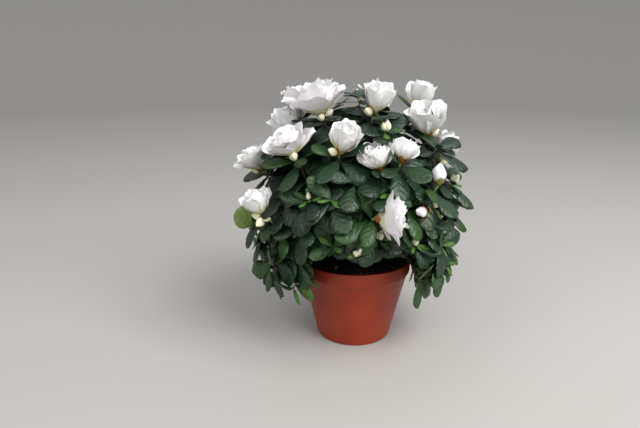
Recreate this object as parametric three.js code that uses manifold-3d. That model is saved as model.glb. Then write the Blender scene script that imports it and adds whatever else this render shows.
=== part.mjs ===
// Potted azalea: a small, round evergreen shrub with white double flowers, grown in a
// terracotta-coloured plastic pot of moist peat. Sizes are millimetres, +Z is up, the origin
// is the middle of the pot's flat underside and the front of the plant faces -Y.

import * as THREE from "three";
import { mergeVertices } from "three/addons/utils/BufferGeometryUtils.js";
import Module from "manifold-3d";

const wasm = await Module();
wasm.setup();

// Pot: a tapered pot of three-quarter height with a stepped band under its rim
const POT_HEIGHT = 96;
const POT_RIM_RADIUS = 65;
const POT_BASE_RADIUS = 43;
const POT_WALL = 1.6;
const POT_FLOOR = 2.4;
const RIM_BAND_HEIGHT = 16;
const RIM_STEP = 1.8;
const RIM_FLARE = 1.2;
const POT_SEGMENTS = 32;
const DRAIN_HOLES = 6;
const DRAIN_RADIUS = 4;
const DRAIN_CIRCLE = 30;

// Peat: its middle is level, so that the trunk can stand on it
const SOIL_TOP = 88;
const SOIL_LEVEL_RADIUS = 16;
const SOIL_SLOPE_RADIUS = 38;
const SOIL_EDGE_DROP = 2;

// Clearance between neighbours, and how near corners of a fused solid are welded or refused
const GAP = 0.3;
const SMALLEST_DETAIL = 0.02;
const WELD_DISTANCE = 0.02;
const TWIN_DISTANCE = 0.0025;

// Crown: its outer surface is a full dome round a focus just above the pot
const FOCUS = new THREE.Vector3(0, 0, 128);
const CROWN_RADIUS = 122;
const CROWN_ABOVE = 163;
const CROWN_BELOW = 84;
const CROWN_FULLNESS = 2.5;

// Trunk and boughs
const TRUNK_TOP = new THREE.Vector3(3, -2, 136);
const TRUNK_LEAN = 2.5;
const TRUNK_RADIUS = 5;
const TRUNK_TOP_RADIUS = 3.2;
const FLARE_RADIUS = 10;
const FLARE_HEIGHT = 14;
const TRUNK_SIDES = 8;
const STUB_REACH = 5;
const BOUGH_RADIUS = 2.6;
const BOUGH_TIP_RADIUS = 1.8;
const BOUGH_SIDES = 5;
const BOUGH_STEPS = 4;
const BOUGH_REACH = 0.33;
const CURVE_HANDLE = 0.35;

// Tiers of foliage: how many masses, how high their boughs fork and where they look.
// Azimuth is counted from the front towards +X, elevation from the level of the focus.
const TIERS = [
  { name: "lower", count: 6, fork: 104, turn: 0, elevation: -12, rise: 0.55 },
  { name: "middle", count: 5, fork: 119, turn: 36, elevation: 28, rise: 0.9 },
  { name: "top", count: 3, fork: 130, turn: 10, elevation: 66, rise: 2.5 },
];
const FRONT_ELEVATION = 12;
const FORK_STAGGER = 3;

// Shoots: a golden spiral of shoot tips lies just inside the crown's outer surface
const SHOOT_LATTICE = 106;
const SHOOT_DEPTH = 0.84;
const SHOOT_DEPTH_SPREAD = 0.07;
const GOLDEN_ANGLE = Math.PI * (3 - Math.sqrt(5));
const LOWEST_SHOOT = -31;
const LOWEST_SHOOT_AT_FRONT = 3;
const FRONT_WINDOW = 42;
const HEAD_SPACING = 15;
const SHOOT_LIFT = 0.3;

// Twigs: where along a twig others may leave it, and how much the way back to the stem counts
const FORK_SHARES = [0.12, 0.26, 0.4, 0.54];
const WAY_WEIGHT = 0.5;
const ONWARD_PULL = 0.7;
const TWIG_SIDES = 3;
const TWIG_STEPS = 3;
const TWIG_RADIUS = 0.85;
const TWIG_GROWTH = 0.4;
const TWIG_END_RADIUS = 1.9;

// Leaves: rosettes at the shoot tips
const LEAVES_PER_SHOOT = 6;
const LEAF_LENGTH = 52;
const LEAF_HALF_WIDTH = 15;
const LEAF_CORNERS = 4;
const LEAF_FULLNESS = 0.75;
const LEAF_THICKNESS = 1.1;
const LEAF_BEND = 0.14;
const LEAF_DROOP = 0.22;
const LEAF_ROOT = 0.4;
const LEAF_STEP = 1.1;
const LEAF_LEAN = 54;
const LEAF_LEAN_STEP = 5;
const LEAF_TRIES = 30;
const NUDGE = 0.02;
const SPACE_MARGIN = 0.4;
const LIMB_MARGIN = 0.6;
const POT_MARGIN = 2.5;

// Flowers that show at the front, and the shares of flowers and buds on the other shoots
const FLOWER_HEADS = [
  { azimuth: -54, elevation: 17, form: "cup" },
  { azimuth: 9, elevation: 22, form: "open" },
  { azimuth: -41, elevation: 45, form: "open" },
  { azimuth: -12, elevation: 48, form: "cup" },
  { azimuth: 4, elevation: 40, form: "cup" },
  { azimuth: 20, elevation: 42, form: "cup" },
  { azimuth: 37, elevation: 34, form: "candle" },
  { azimuth: 62, elevation: 55, form: "cup" },
  { azimuth: 38, elevation: 54, form: "bud" },
  { azimuth: -45, elevation: 68, form: "open" },
  { azimuth: -66, elevation: 55, form: "cup" },
  { azimuth: 14, elevation: 70, form: "cup" },
  { azimuth: -24, elevation: 29, form: "bud" },
  { azimuth: 27, elevation: 20, form: "candle" },
  { azimuth: 62, elevation: 31, form: "bud" },
  { azimuth: 44, elevation: 8, form: "bud" },
];
const FLOWER_SHARE_TOP = 0.62;
const FLOWER_SHARE_SIDE = 0.26;
const BUD_SHARE = 0.16;

// Flower outlines: [radius, height] from the base round the rim to the throat
const FLOWERS = {
  open: { sides: 8, ripple: 0.13, outline: [[0, 0], [5, 9], [24, 25], [12, 22], [0, 15]] },
  cup: { sides: 6, ripple: 0.08, outline: [[0, 0], [8, 7], [14, 20], [10, 30], [0, 20]] },
  candle: { sides: 5, ripple: 0, outline: [[0, 0], [5, 6], [5.5, 16], [0, 26]] },
  bud: { sides: 4, ripple: 0, outline: [[0, 0], [3.4, 4], [2.8, 9], [0, 12]] },
};
const FLOWER_ROOT = 1.5;
const FLOWER_CLEARANCE = 0.6;
const BUDS_PER_CLUSTER = 2;

const UP = new THREE.Vector3(0, 0, 1);
const leafGreen = new THREE.MeshStandardMaterial({ color: "#2f4a2c", roughness: 0.45, metalness: 0 });
const barkBrown = new THREE.MeshStandardMaterial({ color: "#5b4632", roughness: 0.85, metalness: 0 });
const potPlastic = new THREE.MeshStandardMaterial({ color: "#b4492c", roughness: 0.45, metalness: 0 });
const peat = new THREE.MeshStandardMaterial({ color: "#1d1612", roughness: 0.95, metalness: 0 });

// A repeatable number from 0 to 1 for two whole numbers
function chance(index, purpose) {
  const wave = Math.sin(index * 12.9898 + purpose * 78.233) * 43758.5453;
  return wave - Math.floor(wave);
}

function directionAt(azimuth, elevation) {
  const a = THREE.MathUtils.degToRad(azimuth);
  const e = THREE.MathUtils.degToRad(elevation);
  return new THREE.Vector3(Math.sin(a) * Math.cos(e), -Math.cos(a) * Math.cos(e), Math.sin(e));
}

// Distance from the focus to the crown's outer surface
function crownReach(direction) {
  const level = Math.hypot(direction.x, direction.y) / CROWN_RADIUS;
  const upright = Math.abs(direction.z) / (direction.z > 0 ? CROWN_ABOVE : CROWN_BELOW);
  return (level ** CROWN_FULLNESS + upright ** CROWN_FULLNESS) ** (-1 / CROWN_FULLNESS);
}

function crownPoint(direction, depth) {
  return FOCUS.clone().addScaledVector(direction, crownReach(direction) * depth);
}

// Solids: a closed triangle mesh with merged vertices, no flat triangles and its faces outward
function solidFrom(geometry, weldDistance = 1e-4) {
  const bare = geometry.clone();
  bare.deleteAttribute("normal");
  bare.deleteAttribute("uv");
  const merged = mergeVertices(bare, weldDistance);
  const corners = merged.index.array;
  const kept = [];
  for (let k = 0; k < corners.length; k += 3) {
    const [a, b, c] = [corners[k], corners[k + 1], corners[k + 2]];
    if (a !== b && b !== c && c !== a) {
      kept.push(a, b, c);
    }
  }
  const vertices = merged.attributes.position.array;
  if (signedVolume(vertices, kept) < 0) {
    kept.reverse();
  }
  return new wasm.Manifold(new wasm.Mesh({
    numProp: 3, vertProperties: new Float32Array(vertices), triVerts: new Uint32Array(kept),
  }));
}

function signedVolume(vertices, corners) {
  const [a, b, c] = [new THREE.Vector3(), new THREE.Vector3(), new THREE.Vector3()];
  let sum = 0;
  for (let k = 0; k < corners.length; k += 3) {
    a.fromArray(vertices, corners[k] * 3);
    b.fromArray(vertices, corners[k + 1] * 3);
    c.fromArray(vertices, corners[k + 2] * 3);
    sum += a.dot(b.cross(c)) / 6;
  }
  return sum;
}

function geometryFrom(solid) {
  const mesh = solid.getMesh();
  const geometry = new THREE.BufferGeometry();
  geometry.setAttribute("position", new THREE.BufferAttribute(new Float32Array(mesh.vertProperties), 3));
  geometry.setIndex(new THREE.BufferAttribute(new Uint32Array(mesh.triVerts), 1));
  return geometry;
}

// The joined body alone: sealed hollows are filled and loose scraps are left out
function joined(solids) {
  const bodies = wasm.Manifold.union(solids).simplify(SMALLEST_DETAIL).decompose();
  return bodies.reduce((best, body) => (body.volume() > best.volume() ? body : best));
}

// A solid whose tiny edges are welded away, or nothing where that leaves it open or ragged
function welded(solid) {
  try {
    const body = solidFrom(geometryFrom(solid), WELD_DISTANCE);
    return hasTwinCorners(body) || body.decompose().length > 1 ? null : body;
  } catch {
    return null;
  }
}

// Whether two corners of a solid lie almost on each other, too close for a faceted solid
function hasTwinCorners(solid) {
  const places = solid.getMesh().vertProperties;
  const corners = [];
  for (let k = 0; k < places.length; k += 3) {
    corners.push(new THREE.Vector3().fromArray(places, k));
  }
  corners.sort((a, b) => a.x - b.x);
  return corners.some((corner, k) => {
    for (let n = k + 1; n < corners.length && corners[n].x - corner.x < TWIN_DISTANCE; n += 1) {
      if (corners[n].distanceTo(corner) < TWIN_DISTANCE) {
        return true;
      }
    }
    return false;
  });
}

// A solid turned round the Z axis from [radius, height] points that start and end on the axis
function turned(outline, sides) {
  const points = outline.map(([radius, height]) => new THREE.Vector2(radius, height));
  return new THREE.LatheGeometry(points, sides).rotateX(Math.PI / 2);
}

// A tapering limb along a curve, with a radius given for each share of its length
function limbGeometry(curve, radiusAt, sides, steps) {
  const geometry = new THREE.CylinderGeometry(1, 1, 1, sides, steps);
  const chord = curve.getPoint(1).sub(curve.getPoint(0)).normalize();
  const sideways = Math.abs(chord.z) < 0.9 ? UP : new THREE.Vector3(0, 1, 0);
  const position = geometry.attributes.position;
  const local = new THREE.Vector3();
  for (let k = 0; k < position.count; k += 1) {
    local.fromBufferAttribute(position, k);
    const share = local.y + 0.5;
    const along = curve.getTangent(share);
    const across = new THREE.Vector3().crossVectors(sideways, along).normalize();
    const outward = new THREE.Vector3().crossVectors(along, across);
    const place = curve.getPoint(share);
    place.addScaledVector(across, local.x * radiusAt(share));
    place.addScaledVector(outward, local.z * radiusAt(share));
    position.setXYZ(k, place.x, place.y, place.z);
  }
  return geometry;
}

// Pot and peat
function potWallRadius(height) {
  const band = POT_HEIGHT - RIM_BAND_HEIGHT;
  const shoulder = POT_RIM_RADIUS - RIM_FLARE - RIM_STEP;
  if (height > band) {
    return POT_RIM_RADIUS - RIM_FLARE * (POT_HEIGHT - height) / RIM_BAND_HEIGHT;
  }
  return POT_BASE_RADIUS + (shoulder - POT_BASE_RADIUS) * height / band;
}

function makePot() {
  const band = POT_HEIGHT - RIM_BAND_HEIGHT;
  const shell = solidFrom(turned([
    [0, 0],
    [POT_BASE_RADIUS - 1, 0],
    [POT_BASE_RADIUS, 1],
    [potWallRadius(band), band],
    [potWallRadius(band) + RIM_STEP, band + 1],
    [POT_RIM_RADIUS, POT_HEIGHT - 1],
    [POT_RIM_RADIUS - 0.5, POT_HEIGHT],
    [POT_RIM_RADIUS - POT_WALL, POT_HEIGHT],
    [potWallRadius(band + 1) - POT_WALL, band + 2],
    [potWallRadius(band) - POT_WALL, band - 1],
    [potWallRadius(POT_FLOOR) - POT_WALL, POT_FLOOR],
    [0, POT_FLOOR],
  ], POT_SEGMENTS));
  const holes = [];
  for (let k = 0; k < DRAIN_HOLES; k += 1) {
    const drill = new THREE.CylinderGeometry(DRAIN_RADIUS, DRAIN_RADIUS, 3 * POT_FLOOR, 12);
    drill.rotateX(Math.PI / 2);
    drill.translate(DRAIN_CIRCLE, 0, 0);
    drill.rotateZ((2 * Math.PI * k) / DRAIN_HOLES);
    holes.push(solidFrom(drill));
  }
  return shell.subtract(wasm.Manifold.union(holes));
}

function makeSoil() {
  const inner = (height) => potWallRadius(height) - POT_WALL - GAP;
  const bottom = POT_FLOOR + GAP;
  const band = POT_HEIGHT - RIM_BAND_HEIGHT;
  const edge = SOIL_TOP - SOIL_EDGE_DROP;
  return solidFrom(turned([
    [0, bottom],
    [inner(bottom), bottom],
    [inner(band - 1.5), band - 1.5],
    [inner(band) + 0.2, edge],
    [SOIL_SLOPE_RADIUS, SOIL_TOP - 0.4 * SOIL_EDGE_DROP],
    [SOIL_LEVEL_RADIUS, SOIL_TOP],
    [0, SOIL_TOP],
  ], POT_SEGMENTS));
}

// Where the crown's masses look: one direction each
const masses = [];
for (const tier of TIERS) {
  for (let k = 0; k < tier.count; k += 1) {
    const azimuth = tier.turn + (360 * k) / tier.count;
    const atFront = tier.name === "lower" && k === 0;
    const look = directionAt(azimuth, atFront ? FRONT_ELEVATION : tier.elevation);
    masses.push({ name: `${tier.name}_${k + 1}`, tier, index: k, look, shoots: [] });
  }
}

function massAt(direction) {
  return masses.reduce((best, mass) => (mass.look.dot(direction) > best.look.dot(direction) ? mass : best));
}

// Trunk, its stubs and the boughs that go on from them
const trunkCurve = new THREE.CubicBezierCurve3(
  new THREE.Vector3(0, 0, SOIL_TOP + GAP),
  new THREE.Vector3(0, 0, SOIL_TOP + GAP + 12),
  new THREE.Vector3(TRUNK_TOP.x + TRUNK_LEAN, TRUNK_TOP.y, TRUNK_TOP.z - 18),
  TRUNK_TOP,
);

function trunkRadius(share) {
  const height = share * (TRUNK_TOP.z - SOIL_TOP);
  const flare = Math.max(0, 1 - height / FLARE_HEIGHT);
  const plain = THREE.MathUtils.lerp(TRUNK_RADIUS, TRUNK_TOP_RADIUS, share);
  return plain + (FLARE_RADIUS - TRUNK_RADIUS) * flare ** 1.8;
}

for (const mass of masses) {
  const stagger = mass.index % 2 === 0 ? 0 : FORK_STAGGER;
  const share = (mass.tier.fork + stagger - SOIL_TOP) / (TRUNK_TOP.z - SOIL_TOP);
  const fork = trunkCurve.getPoint(share);
  const leave = new THREE.Vector3(mass.look.x, mass.look.y, 0).normalize();
  leave.z = mass.tier.rise;
  leave.normalize();
  const stubEnd = fork.clone().addScaledVector(leave, TRUNK_RADIUS + STUB_REACH);
  const start = stubEnd.clone().addScaledVector(leave, GAP);
  const end = crownPoint(mass.look, BOUGH_REACH);
  const span = start.distanceTo(end);
  mass.stub = new THREE.LineCurve3(fork, stubEnd);
  mass.bough = new THREE.CubicBezierCurve3(
    start,
    start.clone().addScaledVector(leave, CURVE_HANDLE * span),
    end.clone().addScaledVector(mass.look, -CURVE_HANDLE * span),
    end,
  );
}

const boughRadius = (share) => THREE.MathUtils.lerp(BOUGH_RADIUS, BOUGH_TIP_RADIUS, share);

function makeTrunk() {
  const stubs = masses.map((mass) => solidFrom(limbGeometry(mass.stub, () => BOUGH_RADIUS, BOUGH_SIDES, 1)));
  return joined([solidFrom(limbGeometry(trunkCurve, trunkRadius, TRUNK_SIDES, 6)), ...stubs]);
}

const makeBough = (mass) => solidFrom(limbGeometry(mass.bough, boughRadius, BOUGH_SIDES, BOUGH_STEPS));

// Limbs as short straight pieces, for keeping leaves and twigs clear of them
const limbPieces = [];

function addLimbPieces(curve, radiusAt, steps) {
  for (let k = 0; k < steps; k += 1) {
    const piece = new THREE.Line3(curve.getPoint(k / steps), curve.getPoint((k + 1) / steps));
    limbPieces.push({ piece, radius: radiusAt(k / steps) });
  }
}

addLimbPieces(trunkCurve, trunkRadius, 8);
for (const mass of masses) {
  addLimbPieces(mass.stub, () => BOUGH_RADIUS, 1);
  addLimbPieces(mass.bough, boughRadius, BOUGH_STEPS);
}

// Shoots: the flower heads that show at the front come first, then the spiral fills the rest
function makeShoots() {
  const shoots = FLOWER_HEADS.map(
    (head) => ({ look: directionAt(head.azimuth, head.elevation), form: head.form }),
  );
  const heads = shoots.length;
  for (let k = 0; k < SHOOT_LATTICE; k += 1) {
    const height = 1 - (2 * k + 1) / SHOOT_LATTICE;
    const out = Math.sqrt(1 - height * height);
    const turn = k * GOLDEN_ANGLE;
    const look = new THREE.Vector3(out * Math.sin(turn), -out * Math.cos(turn), height);
    const front = Math.abs(THREE.MathUtils.radToDeg(Math.atan2(look.x, -look.y))) < FRONT_WINDOW;
    const lowest = front ? LOWEST_SHOOT_AT_FRONT : LOWEST_SHOOT;
    if (THREE.MathUtils.radToDeg(Math.asin(height)) < lowest) {
      continue;
    }
    const nearHead = shoots.slice(0, heads).some(
      (head) => THREE.MathUtils.radToDeg(head.look.angleTo(look)) < HEAD_SPACING,
    );
    if (!nearHead) {
      shoots.push({ look, form: shootForm(k, height) });
    }
  }
  shoots.forEach((shoot, k) => {
    shoot.index = k;
    shoot.tip = crownPoint(shoot.look, SHOOT_DEPTH + SHOOT_DEPTH_SPREAD * (2 * chance(k, 1) - 1));
    const lift = SHOOT_LIFT * THREE.MathUtils.clamp(1 + 2.5 * shoot.look.z, 0, 1);
    shoot.heading = shoot.look.clone().addScaledVector(UP, lift).normalize();
  });
  return shoots;
}

function shootForm(k, height) {
  const share = height > 0.6 ? FLOWER_SHARE_TOP : FLOWER_SHARE_SIDE * (height > 0 ? 1 : 0.5);
  const draw = chance(k, 2);
  if (draw < share) {
    return draw < share * 0.5 ? "open" : "cup";
  }
  return draw < share + BUD_SHARE ? "bud" : "leafy";
}

const shoots = makeShoots();
for (const shoot of shoots) {
  massAt(shoot.look).shoots.push(shoot);
}

// Twigs: the first goes to the shoot in the middle of the mass. Each next one leaves an earlier
// twig where the way to its own shoot is short, counting part of the way back to the stem.
function onTwig(curve, share) {
  const step = Math.floor(share * TWIG_STEPS);
  const rest = share * TWIG_STEPS - step;
  return curve.getPoint(step / TWIG_STEPS).lerp(curve.getPoint((step + 1) / TWIG_STEPS), rest);
}

function nearestRoot(twigs, shoot) {
  let best = null;
  for (const twig of twigs) {
    for (const share of twig.freeShares) {
      const place = onTwig(twig.curve, share);
      const way = twig.root.way + share * twig.length;
      const cost = place.distanceTo(shoot.tip) + WAY_WEIGHT * way;
      if (best === null || cost < best.cost) {
        best = { cost, twig, share, place, way, heading: twig.curve.getTangent(share) };
      }
    }
  }
  best.twig.freeShares = best.twig.freeShares.filter((share) => share !== best.share);
  return best;
}

function twigTo(shoot, root) {
  const towards = shoot.tip.clone().sub(root.place);
  const length = towards.length();
  const leave = towards.divideScalar(length).addScaledVector(root.heading, ONWARD_PULL).normalize();
  const curve = new THREE.CubicBezierCurve3(
    root.place,
    root.place.clone().addScaledVector(leave, CURVE_HANDLE * length),
    shoot.tip.clone().addScaledVector(shoot.heading, -CURVE_HANDLE * length),
    shoot.tip,
  );
  return { curve, root, length, feeds: 1, freeShares: [...FORK_SHARES] };
}

function growTwigs(mass) {
  const nearness = (shoot) => shoot.look.dot(mass.look);
  const inOrder = [...mass.shoots].sort((a, b) => nearness(b) - nearness(a));
  const stem = { place: mass.bough.getPoint(1).addScaledVector(mass.look, GAP), way: 0, heading: mass.look };
  const twigs = [];
  for (const shoot of inOrder) {
    const root = twigs.length === 0 ? stem : nearestRoot(twigs, shoot);
    twigs.push(twigTo(shoot, root));
    for (let below = root.twig; below; below = below.root.twig) {
      below.feeds += 1;
    }
  }
  return twigs;
}

// A twig thins towards its shoot and ends in a swollen tip that the leaves stand on
function twigSolid(twig, nudge) {
  const from = (1 + 0.1 * nudge) * TWIG_RADIUS * twig.feeds ** TWIG_GROWTH;
  const thinning = (share) => THREE.MathUtils.lerp(from, TWIG_RADIUS, share);
  const radiusAt = (share) => (share > 0.9 ? TWIG_END_RADIUS : thinning(share));
  return solidFrom(limbGeometry(twig.curve, radiusAt, TWIG_SIDES, TWIG_STEPS));
}

// A mass keeps to the directions that lie nearest to its own, and clear of limbs, pot and peat
function insideSpace(point, mass) {
  const offset = point.clone().sub(FOCUS);
  for (const other of masses) {
    if (other !== mass) {
      const across = mass.look.clone().sub(other.look).normalize();
      if (offset.dot(across) < SPACE_MARGIN) {
        return false;
      }
    }
  }
  return true;
}

function clearOfPot(point) {
  const out = Math.hypot(point.x, point.y);
  return point.z > POT_HEIGHT + POT_MARGIN || out > potWallRadius(point.z) + RIM_STEP + POT_MARGIN;
}

function clearOfLimbs(point) {
  const nearest = new THREE.Vector3();
  return limbPieces.every(({ piece, radius }) => {
    piece.closestPointToPoint(point, true, nearest);
    return nearest.distanceTo(point) > radius + LIMB_MARGIN;
  });
}

// The leaf's mid surface as a fan of triangles, for keeping it off the leaves placed before it
function leafFan(leaf) {
  const rim = [];
  for (let k = 0; k < LEAF_CORNERS; k += 1) {
    const angle = (2 * Math.PI * k) / LEAF_CORNERS;
    const along = Math.max(0.1, ((1 + Math.cos(angle)) / 2) ** LEAF_FULLNESS);
    rim.push(leafPoint(leaf, along, Math.sin(angle), 0));
  }
  return { rim, middle: leafPoint(leaf, 0.5 ** LEAF_FULLNESS, 0, 0) };
}

function fanCrosses(edges, fan) {
  const hit = new THREE.Vector3();
  return edges.rim.some((from, k) => {
    const to = edges.rim[(k + 1) % LEAF_CORNERS];
    const ray = new THREE.Ray(from, to.clone().sub(from).normalize());
    return fan.rim.some((corner, n) => (
      ray.intersectTriangle(fan.middle, corner, fan.rim[(n + 1) % LEAF_CORNERS], false, hit) !== null
      && hit.distanceTo(from) < to.distanceTo(from)
    ));
  });
}

function crossesAny(fan, others) {
  return others.some((other) => (
    fan.middle.distanceTo(other.middle) < LEAF_LENGTH && (fanCrosses(fan, other) || fanCrosses(other, fan))
  ));
}

// A leaf is a flattened kite: slim at its root and widest past the middle
function leafPoint(leaf, along, across, height) {
  const place = leaf.root.clone().addScaledVector(leaf.along, along * leaf.length);
  place.addScaledVector(leaf.side, across * leaf.halfWidth);
  return place.addScaledVector(leaf.up, height - LEAF_BEND * leaf.length * along * along);
}

function leafSolid(leaf) {
  const geometry = new THREE.SphereGeometry(1, LEAF_CORNERS, 2);
  const position = geometry.attributes.position;
  for (let k = 0; k < position.count; k += 1) {
    const [x, y, z] = [position.getX(k), position.getY(k), position.getZ(k)];
    const place = leafPoint(leaf, ((1 + x) / 2) ** LEAF_FULLNESS, z, (y * LEAF_THICKNESS) / 2);
    position.setXYZ(k, place.x, place.y, place.z);
  }
  return solidFrom(geometry);
}

function leafFits(leaf, mass) {
  const widest = 0.5 ** LEAF_FULLNESS;
  for (let row = 2; row <= 10; row += 1) {
    const along = row / 10;
    const width = along < widest ? along / widest : (1 - along) / (1 - widest);
    for (const across of [-width, -width / 2, 0, width / 2, width]) {
      const point = leafPoint(leaf, along, across, 0);
      if (!insideSpace(point, mass) || !clearOfPot(point) || !clearOfLimbs(point) || !clearOfBlooms(point)) {
        return false;
      }
    }
  }
  return true;
}

function clearOfBlooms(point) {
  return bloomBalls.every((ball) => ball.distanceToPoint(point) > 0);
}

// The round space that each flower fills above its shoot tip
const bloomBalls = shoots.filter((shoot) => FLOWERS[shoot.form]).map((shoot) => {
  const { outline } = FLOWERS[shoot.form];
  const radius = Math.max(...outline.map((point) => point[0]));
  const height = Math.max(...outline.map((point) => point[1]));
  const middle = shoot.tip.clone().addScaledVector(shoot.heading, height * 0.72);
  return new THREE.Sphere(middle, radius * FLOWER_CLEARANCE);
});

// Leaves stand round the shoot by the golden angle; one that doesn't fit folds up and turns a little
function makeLeaf(shoot, order, attempt, nudge) {
  const draw = (purpose) => chance(shoot.index * LEAVES_PER_SHOOT + order, purpose + 10 * attempt);
  const ease = attempt / LEAF_TRIES;
  const firstTurn = 2 * Math.PI * chance(shoot.index, 4) + nudge;
  const turn = firstTurn + order * GOLDEN_ANGLE + 5 * ease * (draw(5) - 0.5);
  const lean = THREE.MathUtils.degToRad((LEAF_LEAN + LEAF_LEAN_STEP * order) * (1 - 0.65 * ease * draw(6)));
  const across = new THREE.Vector3().crossVectors(shoot.heading, UP).normalize();
  const outward = new THREE.Vector3().crossVectors(across, shoot.heading);
  const radial = across.multiplyScalar(Math.cos(turn)).addScaledVector(outward, Math.sin(turn));
  const along = shoot.heading.clone().multiplyScalar(Math.cos(lean)).addScaledVector(radial, Math.sin(lean));
  along.addScaledVector(UP, -LEAF_DROOP * Math.sin(lean)).normalize();
  const side = new THREE.Vector3().crossVectors(along, shoot.heading).normalize();
  const up = new THREE.Vector3().crossVectors(side, along);
  const size = (0.84 + 0.16 * draw(7)) * (1 - 0.3 * ease);
  const root = shoot.tip.clone().addScaledVector(shoot.heading, -0.6 - LEAF_STEP * order);
  root.addScaledVector(along, -LEAF_ROOT);
  return { root, along, side, up, length: LEAF_LENGTH * size, halfWidth: LEAF_HALF_WIDTH * size };
}

function leavesOf(shoot, mass, fans, nudge) {
  const leaves = [];
  for (let order = 0; order < LEAVES_PER_SHOOT; order += 1) {
    for (let attempt = 0; attempt < LEAF_TRIES; attempt += 1) {
      const leaf = makeLeaf(shoot, order, attempt, nudge);
      const fan = leafFan(leaf);
      if (leafFits(leaf, mass) && !crossesAny(fan, fans)) {
        fans.push(fan);
        leaves.push(leafSolid(leaf));
        break;
      }
    }
  }
  return leaves;
}

// A flower or bud stands on the shoot tip along a heading of its own
function bloomGeometry(form, size, place, heading, turn) {
  const { sides, ripple, outline } = FLOWERS[form];
  const geometry = turned(outline, sides);
  const position = geometry.attributes.position;
  for (let k = 0; k < position.count; k += 1) {
    const [x, y, z] = [position.getX(k), position.getY(k), position.getZ(k)];
    const angle = Math.atan2(y, x);
    const wave = Math.hypot(x, y) > 1 ? ripple * Math.cos((sides / 2) * angle) : 0;
    position.setXYZ(k, x * (1 + wave), y * (1 + wave), z * (1 + wave));
  }
  const pose = new THREE.Quaternion().setFromUnitVectors(UP, heading);
  geometry.rotateZ(turn).scale(size, size, size).applyQuaternion(pose);
  return geometry.translate(...place.clone().addScaledVector(heading, -FLOWER_ROOT).toArray());
}

function bloomFits(geometry, mass) {
  const position = geometry.attributes.position;
  const point = new THREE.Vector3();
  for (let k = 0; k < position.count; k += 1) {
    point.fromBufferAttribute(position, k);
    if (!insideSpace(point, mass)) {
      return false;
    }
  }
  return true;
}

function bloomsOf(shoot, mass, nudge) {
  const turn = 2 * Math.PI * chance(shoot.index, 6) + nudge;
  const blooms = [];
  if (shoot.form === "bud") {
    for (let k = 0; k < BUDS_PER_CLUSTER; k += 1) {
      const apart = directionAt(180 * k + THREE.MathUtils.radToDeg(turn), 0).multiplyScalar(0.4);
      const heading = shoot.heading.clone().add(apart).normalize();
      blooms.push(bloomGeometry("bud", 1 - 0.12 * k, shoot.tip, heading, turn));
    }
  } else if (shoot.form !== "leafy") {
    for (let attempt = 0; attempt < 6 && blooms.length === 0; attempt += 1) {
      const inward = mass.look.clone().multiplyScalar(0.15 * attempt);
      const heading = shoot.heading.clone().add(inward).normalize();
      const bloom = bloomGeometry(shoot.form, 1 - 0.06 * attempt, shoot.tip, heading, turn);
      if (bloomFits(bloom, mass)) {
        blooms.push(bloom);
      }
    }
  }
  return blooms.filter((bloom) => bloomFits(bloom, mass)).map((bloom) => solidFrom(bloom));
}

// A mass whose fused body doesn't weld cleanly is made again with its leaves turned a little
function makeMass(mass, nudge = 0) {
  const solids = growTwigs(mass).map((twig) => twigSolid(twig, nudge));
  const fans = [];
  for (const shoot of mass.shoots) {
    solids.push(...leavesOf(shoot, mass, fans, nudge), ...bloomsOf(shoot, mass, nudge));
  }
  return welded(joined(solids)) ?? makeMass(mass, nudge + NUDGE);
}

const azalea = new THREE.Group();

function addNode(name, solid, material) {
  const mesh = new THREE.Mesh(geometryFrom(solid), material);
  mesh.name = name;
  azalea.add(mesh);
}

addNode("pot", makePot(), potPlastic);
addNode("soil", makeSoil(), peat);
addNode("trunk", makeTrunk(), barkBrown);
for (const mass of masses) {
  addNode(`bough_${mass.name}`, makeBough(mass), barkBrown);
  addNode(`foliage_${mass.name}`, makeMass(mass), leafGreen);
}

export default azalea;
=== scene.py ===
"""Looks of a potted azalea: a small evergreen shrub with white double flowers in a plastic pot.

Lengths are worked out in millimetres in the frame of the solids, as the shrub's growing rule is,
and each mesh is scaled to metres when it is made. The front of the plant faces -Y.
"""

import math
from itertools import product
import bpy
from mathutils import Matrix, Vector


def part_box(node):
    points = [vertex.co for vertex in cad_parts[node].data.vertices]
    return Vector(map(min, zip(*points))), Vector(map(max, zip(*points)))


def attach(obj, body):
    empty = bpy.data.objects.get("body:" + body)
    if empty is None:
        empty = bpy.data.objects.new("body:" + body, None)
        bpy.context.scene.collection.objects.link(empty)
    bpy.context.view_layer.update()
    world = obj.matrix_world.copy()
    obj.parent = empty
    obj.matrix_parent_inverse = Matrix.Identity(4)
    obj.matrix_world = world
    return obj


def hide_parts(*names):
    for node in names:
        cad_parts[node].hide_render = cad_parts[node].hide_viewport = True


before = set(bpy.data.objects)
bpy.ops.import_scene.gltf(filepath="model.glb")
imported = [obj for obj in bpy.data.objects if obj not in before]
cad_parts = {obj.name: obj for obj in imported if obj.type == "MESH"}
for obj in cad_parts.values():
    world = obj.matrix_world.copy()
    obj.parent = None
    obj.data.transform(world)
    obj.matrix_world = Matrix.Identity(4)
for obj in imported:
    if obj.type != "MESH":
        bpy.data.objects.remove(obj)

from types import SimpleNamespace

import bpy
import numpy as np

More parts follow.
